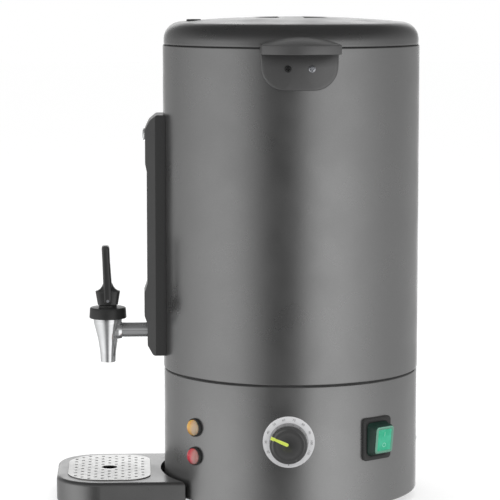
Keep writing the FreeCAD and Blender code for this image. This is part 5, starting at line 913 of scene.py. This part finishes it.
for station, word in ((0, "right"), (180, "left")):
    piece(f"black_screw_{word}", [cross_head(-screw_aside)], "urn", "chrome_plate", rubber, station,
          ["handle_screws"])
    piece(f"bright_screw_{word}", [cross_head(screw_aside)], "urn", "chrome_plate", zinc, station)

# Lid. A shallow domed sheet in a darker shade of the paint, with two finger wells either side of a bridge. A
# black cup closes the wells, and a small black vent stands on the tap side.

lid_radius, shoulder, lid_bottom, shoulder_middle = 133.05, 18.0, 475.8, 481.3
lathe_radius, dome_slope = 46.0, 5.2
slope = math.radians(dome_slope)
shoulder_reach = lid_radius - shoulder + shoulder * math.sin(slope)
shoulder_top = shoulder_middle + shoulder * math.cos(slope)
dome_radius = shoulder_reach / math.sin(slope)
dome_middle = shoulder_top - dome_radius * math.cos(slope)


def dome(points):
    """Height of the dome over flat points: its middle plus the root of (radius squared less distance
    squared)."""
    return dome_middle + np.sqrt(dome_radius ** 2 - (points ** 2).sum(axis=-1))


def spaced(line, count):
    """Points at even distances along a line, from its first to before its last."""
    length = np.concatenate([[0], np.cumsum(np.linalg.norm(np.diff(line, axis=0), axis=1))])
    at = np.arange(count) / count * length[-1]
    return np.stack([np.interp(at, length, line[:, k]) for k in range(2)], axis=-1)


def well_patch(side):
    """Sheet round one well. Columns run along the bridge side, then round the arc; rows go from inside the
    well, over a rolled edge, and out to the bridge's middle line and a half circle of the lathe's radius."""
    well, bridge, straight, arc = 39.2, 11.0, 48, 144
    chord = math.sqrt(well ** 2 - bridge ** 2)
    start = math.asin(bridge / well)
    bend = np.linspace(start, math.pi - start, 97)
    rim = np.concatenate([np.linspace([-chord, bridge], [chord, bridge], 49)[:-1],
                          well * np.stack([np.cos(bend), np.sin(bend)], axis=-1)])
    edge = np.concatenate([spaced(rim[:49], straight), spaced(np.concatenate([rim[48:], rim[:1]]), arc)])
    across = np.arange(straight) / straight * 2 * lathe_radius - lathe_radius
    turn_at = np.arange(arc) / arc * math.pi
    outer = np.concatenate([np.stack([across, np.zeros(straight)], axis=-1),
                            lathe_radius * np.stack([np.cos(turn_at), np.sin(turn_at)], axis=-1)])
    along = np.roll(edge, -1, axis=0) - np.roll(edge, 1, axis=0)
    inward = np.stack([-along[:, 1], along[:, 0]], axis=-1) / np.linalg.norm(along, axis=1)[:, None]
    rows = []
    for in_by, fall in ((1.2, 4.0), (1.2, 1.2), (1.04, 0.6), (0.6, 0.16)):
        flat = edge + inward * in_by
        rows.append(np.concatenate([flat, (dome(edge) - fall)[:, None]], axis=-1))
    for share in np.linspace(0, 1, 7):
        flat = edge * (1 - share) + outer * share
        rows.append(np.concatenate([flat, dome(flat)[:, None]], axis=-1))
    patch = np.stack(rows)
    patch[..., 1] *= side
    return cells(patch)


ring_radii = np.linspace(lathe_radius, shoulder_reach, 12)
ring_rows = np.stack([ring_radii, dome(ring_radii[:, None])], axis=-1)
bend = np.linspace(math.pi / 2 - slope, 0, 18)[1:]
shoulder_rows = np.stack([lid_radius - shoulder + shoulder * np.cos(bend),
                          shoulder_middle + shoulder * np.sin(bend)], axis=-1)
lid_rows = np.concatenate([ring_rows, shoulder_rows, [(lid_radius, 478.5), (lid_radius, lid_bottom)]])
lid_paint = painted("satin_paint_of_lid", grey(0.195), grey(0.27), 0.3)
lid = piece("lid_sheet", [cells(turned_upright(lid_rows, 288)), well_patch(1), well_patch(-1)], "lid",
            "grey_paint", lid_paint, stands_for=["lid"], crease=50)
sheet_wall = lid.modifiers.new("sheet_wall", "SOLIDIFY")
sheet_wall.thickness = 0.001
sheet_wall.offset = -1
dress(moulding, "lid_cup", "steam_vent")

# Drip tray and grate. A painted pan that hugs the base, its inner curve black as painted shade of the gap to
# the base, and a polished stainless grate with round holes.

painted_shade_within, paint_beyond = 0.1377, 0.138
tray_paint, tray_wiring, tray_shader, tray_height = new_finish("satin_paint_of_tray_with_painted_shade", 0.9, bump=paint_relief)
tray_coat = use(tray_wiring, "sprayed_coat", Color=grey(0.27), Flake=grey(0.36), Rough=0.3)
level_place = tray_wiring.node("ShaderNodeVectorMath", operation="MULTIPLY")
tray_wiring.join(place(tray_wiring), level_place.inputs[0])
level_place.inputs[1].default_value = (1, 1, 0)
from_axis = tray_wiring.node("ShaderNodeVectorMath", operation="LENGTH")
tray_wiring.join(level_place.outputs[0], from_axis.inputs[0])
# painted shade: within this distance from the urn's axis the tray turns black and matt for the gap's shade
sprayed = tray_wiring.ramp(from_axis.outputs["Value"], painted_shade_within, paint_beyond)
tray_wiring.join(tray_wiring.mix(sprayed, grey(0.004), tray_coat["Color"]), tray_shader["Base Color"])
dull = tray_wiring.math("ADD", tray_coat["Rough"], 0.4)
tray_wiring.join(tray_wiring.math("MULTIPLY_ADD", sprayed, -0.4, dull), tray_shader["Roughness"])
tray_wiring.join(tray_coat["Height"], tray_height)
dress(tray_paint, "drip_tray")
grate_metal = brushed("polished_stainless", (0.8, 0.8, 0.79, 1), (0.72, 0.72, 0.72, 1), 0.2, 300, 300)
dress(grate_metal, "drip_grate")
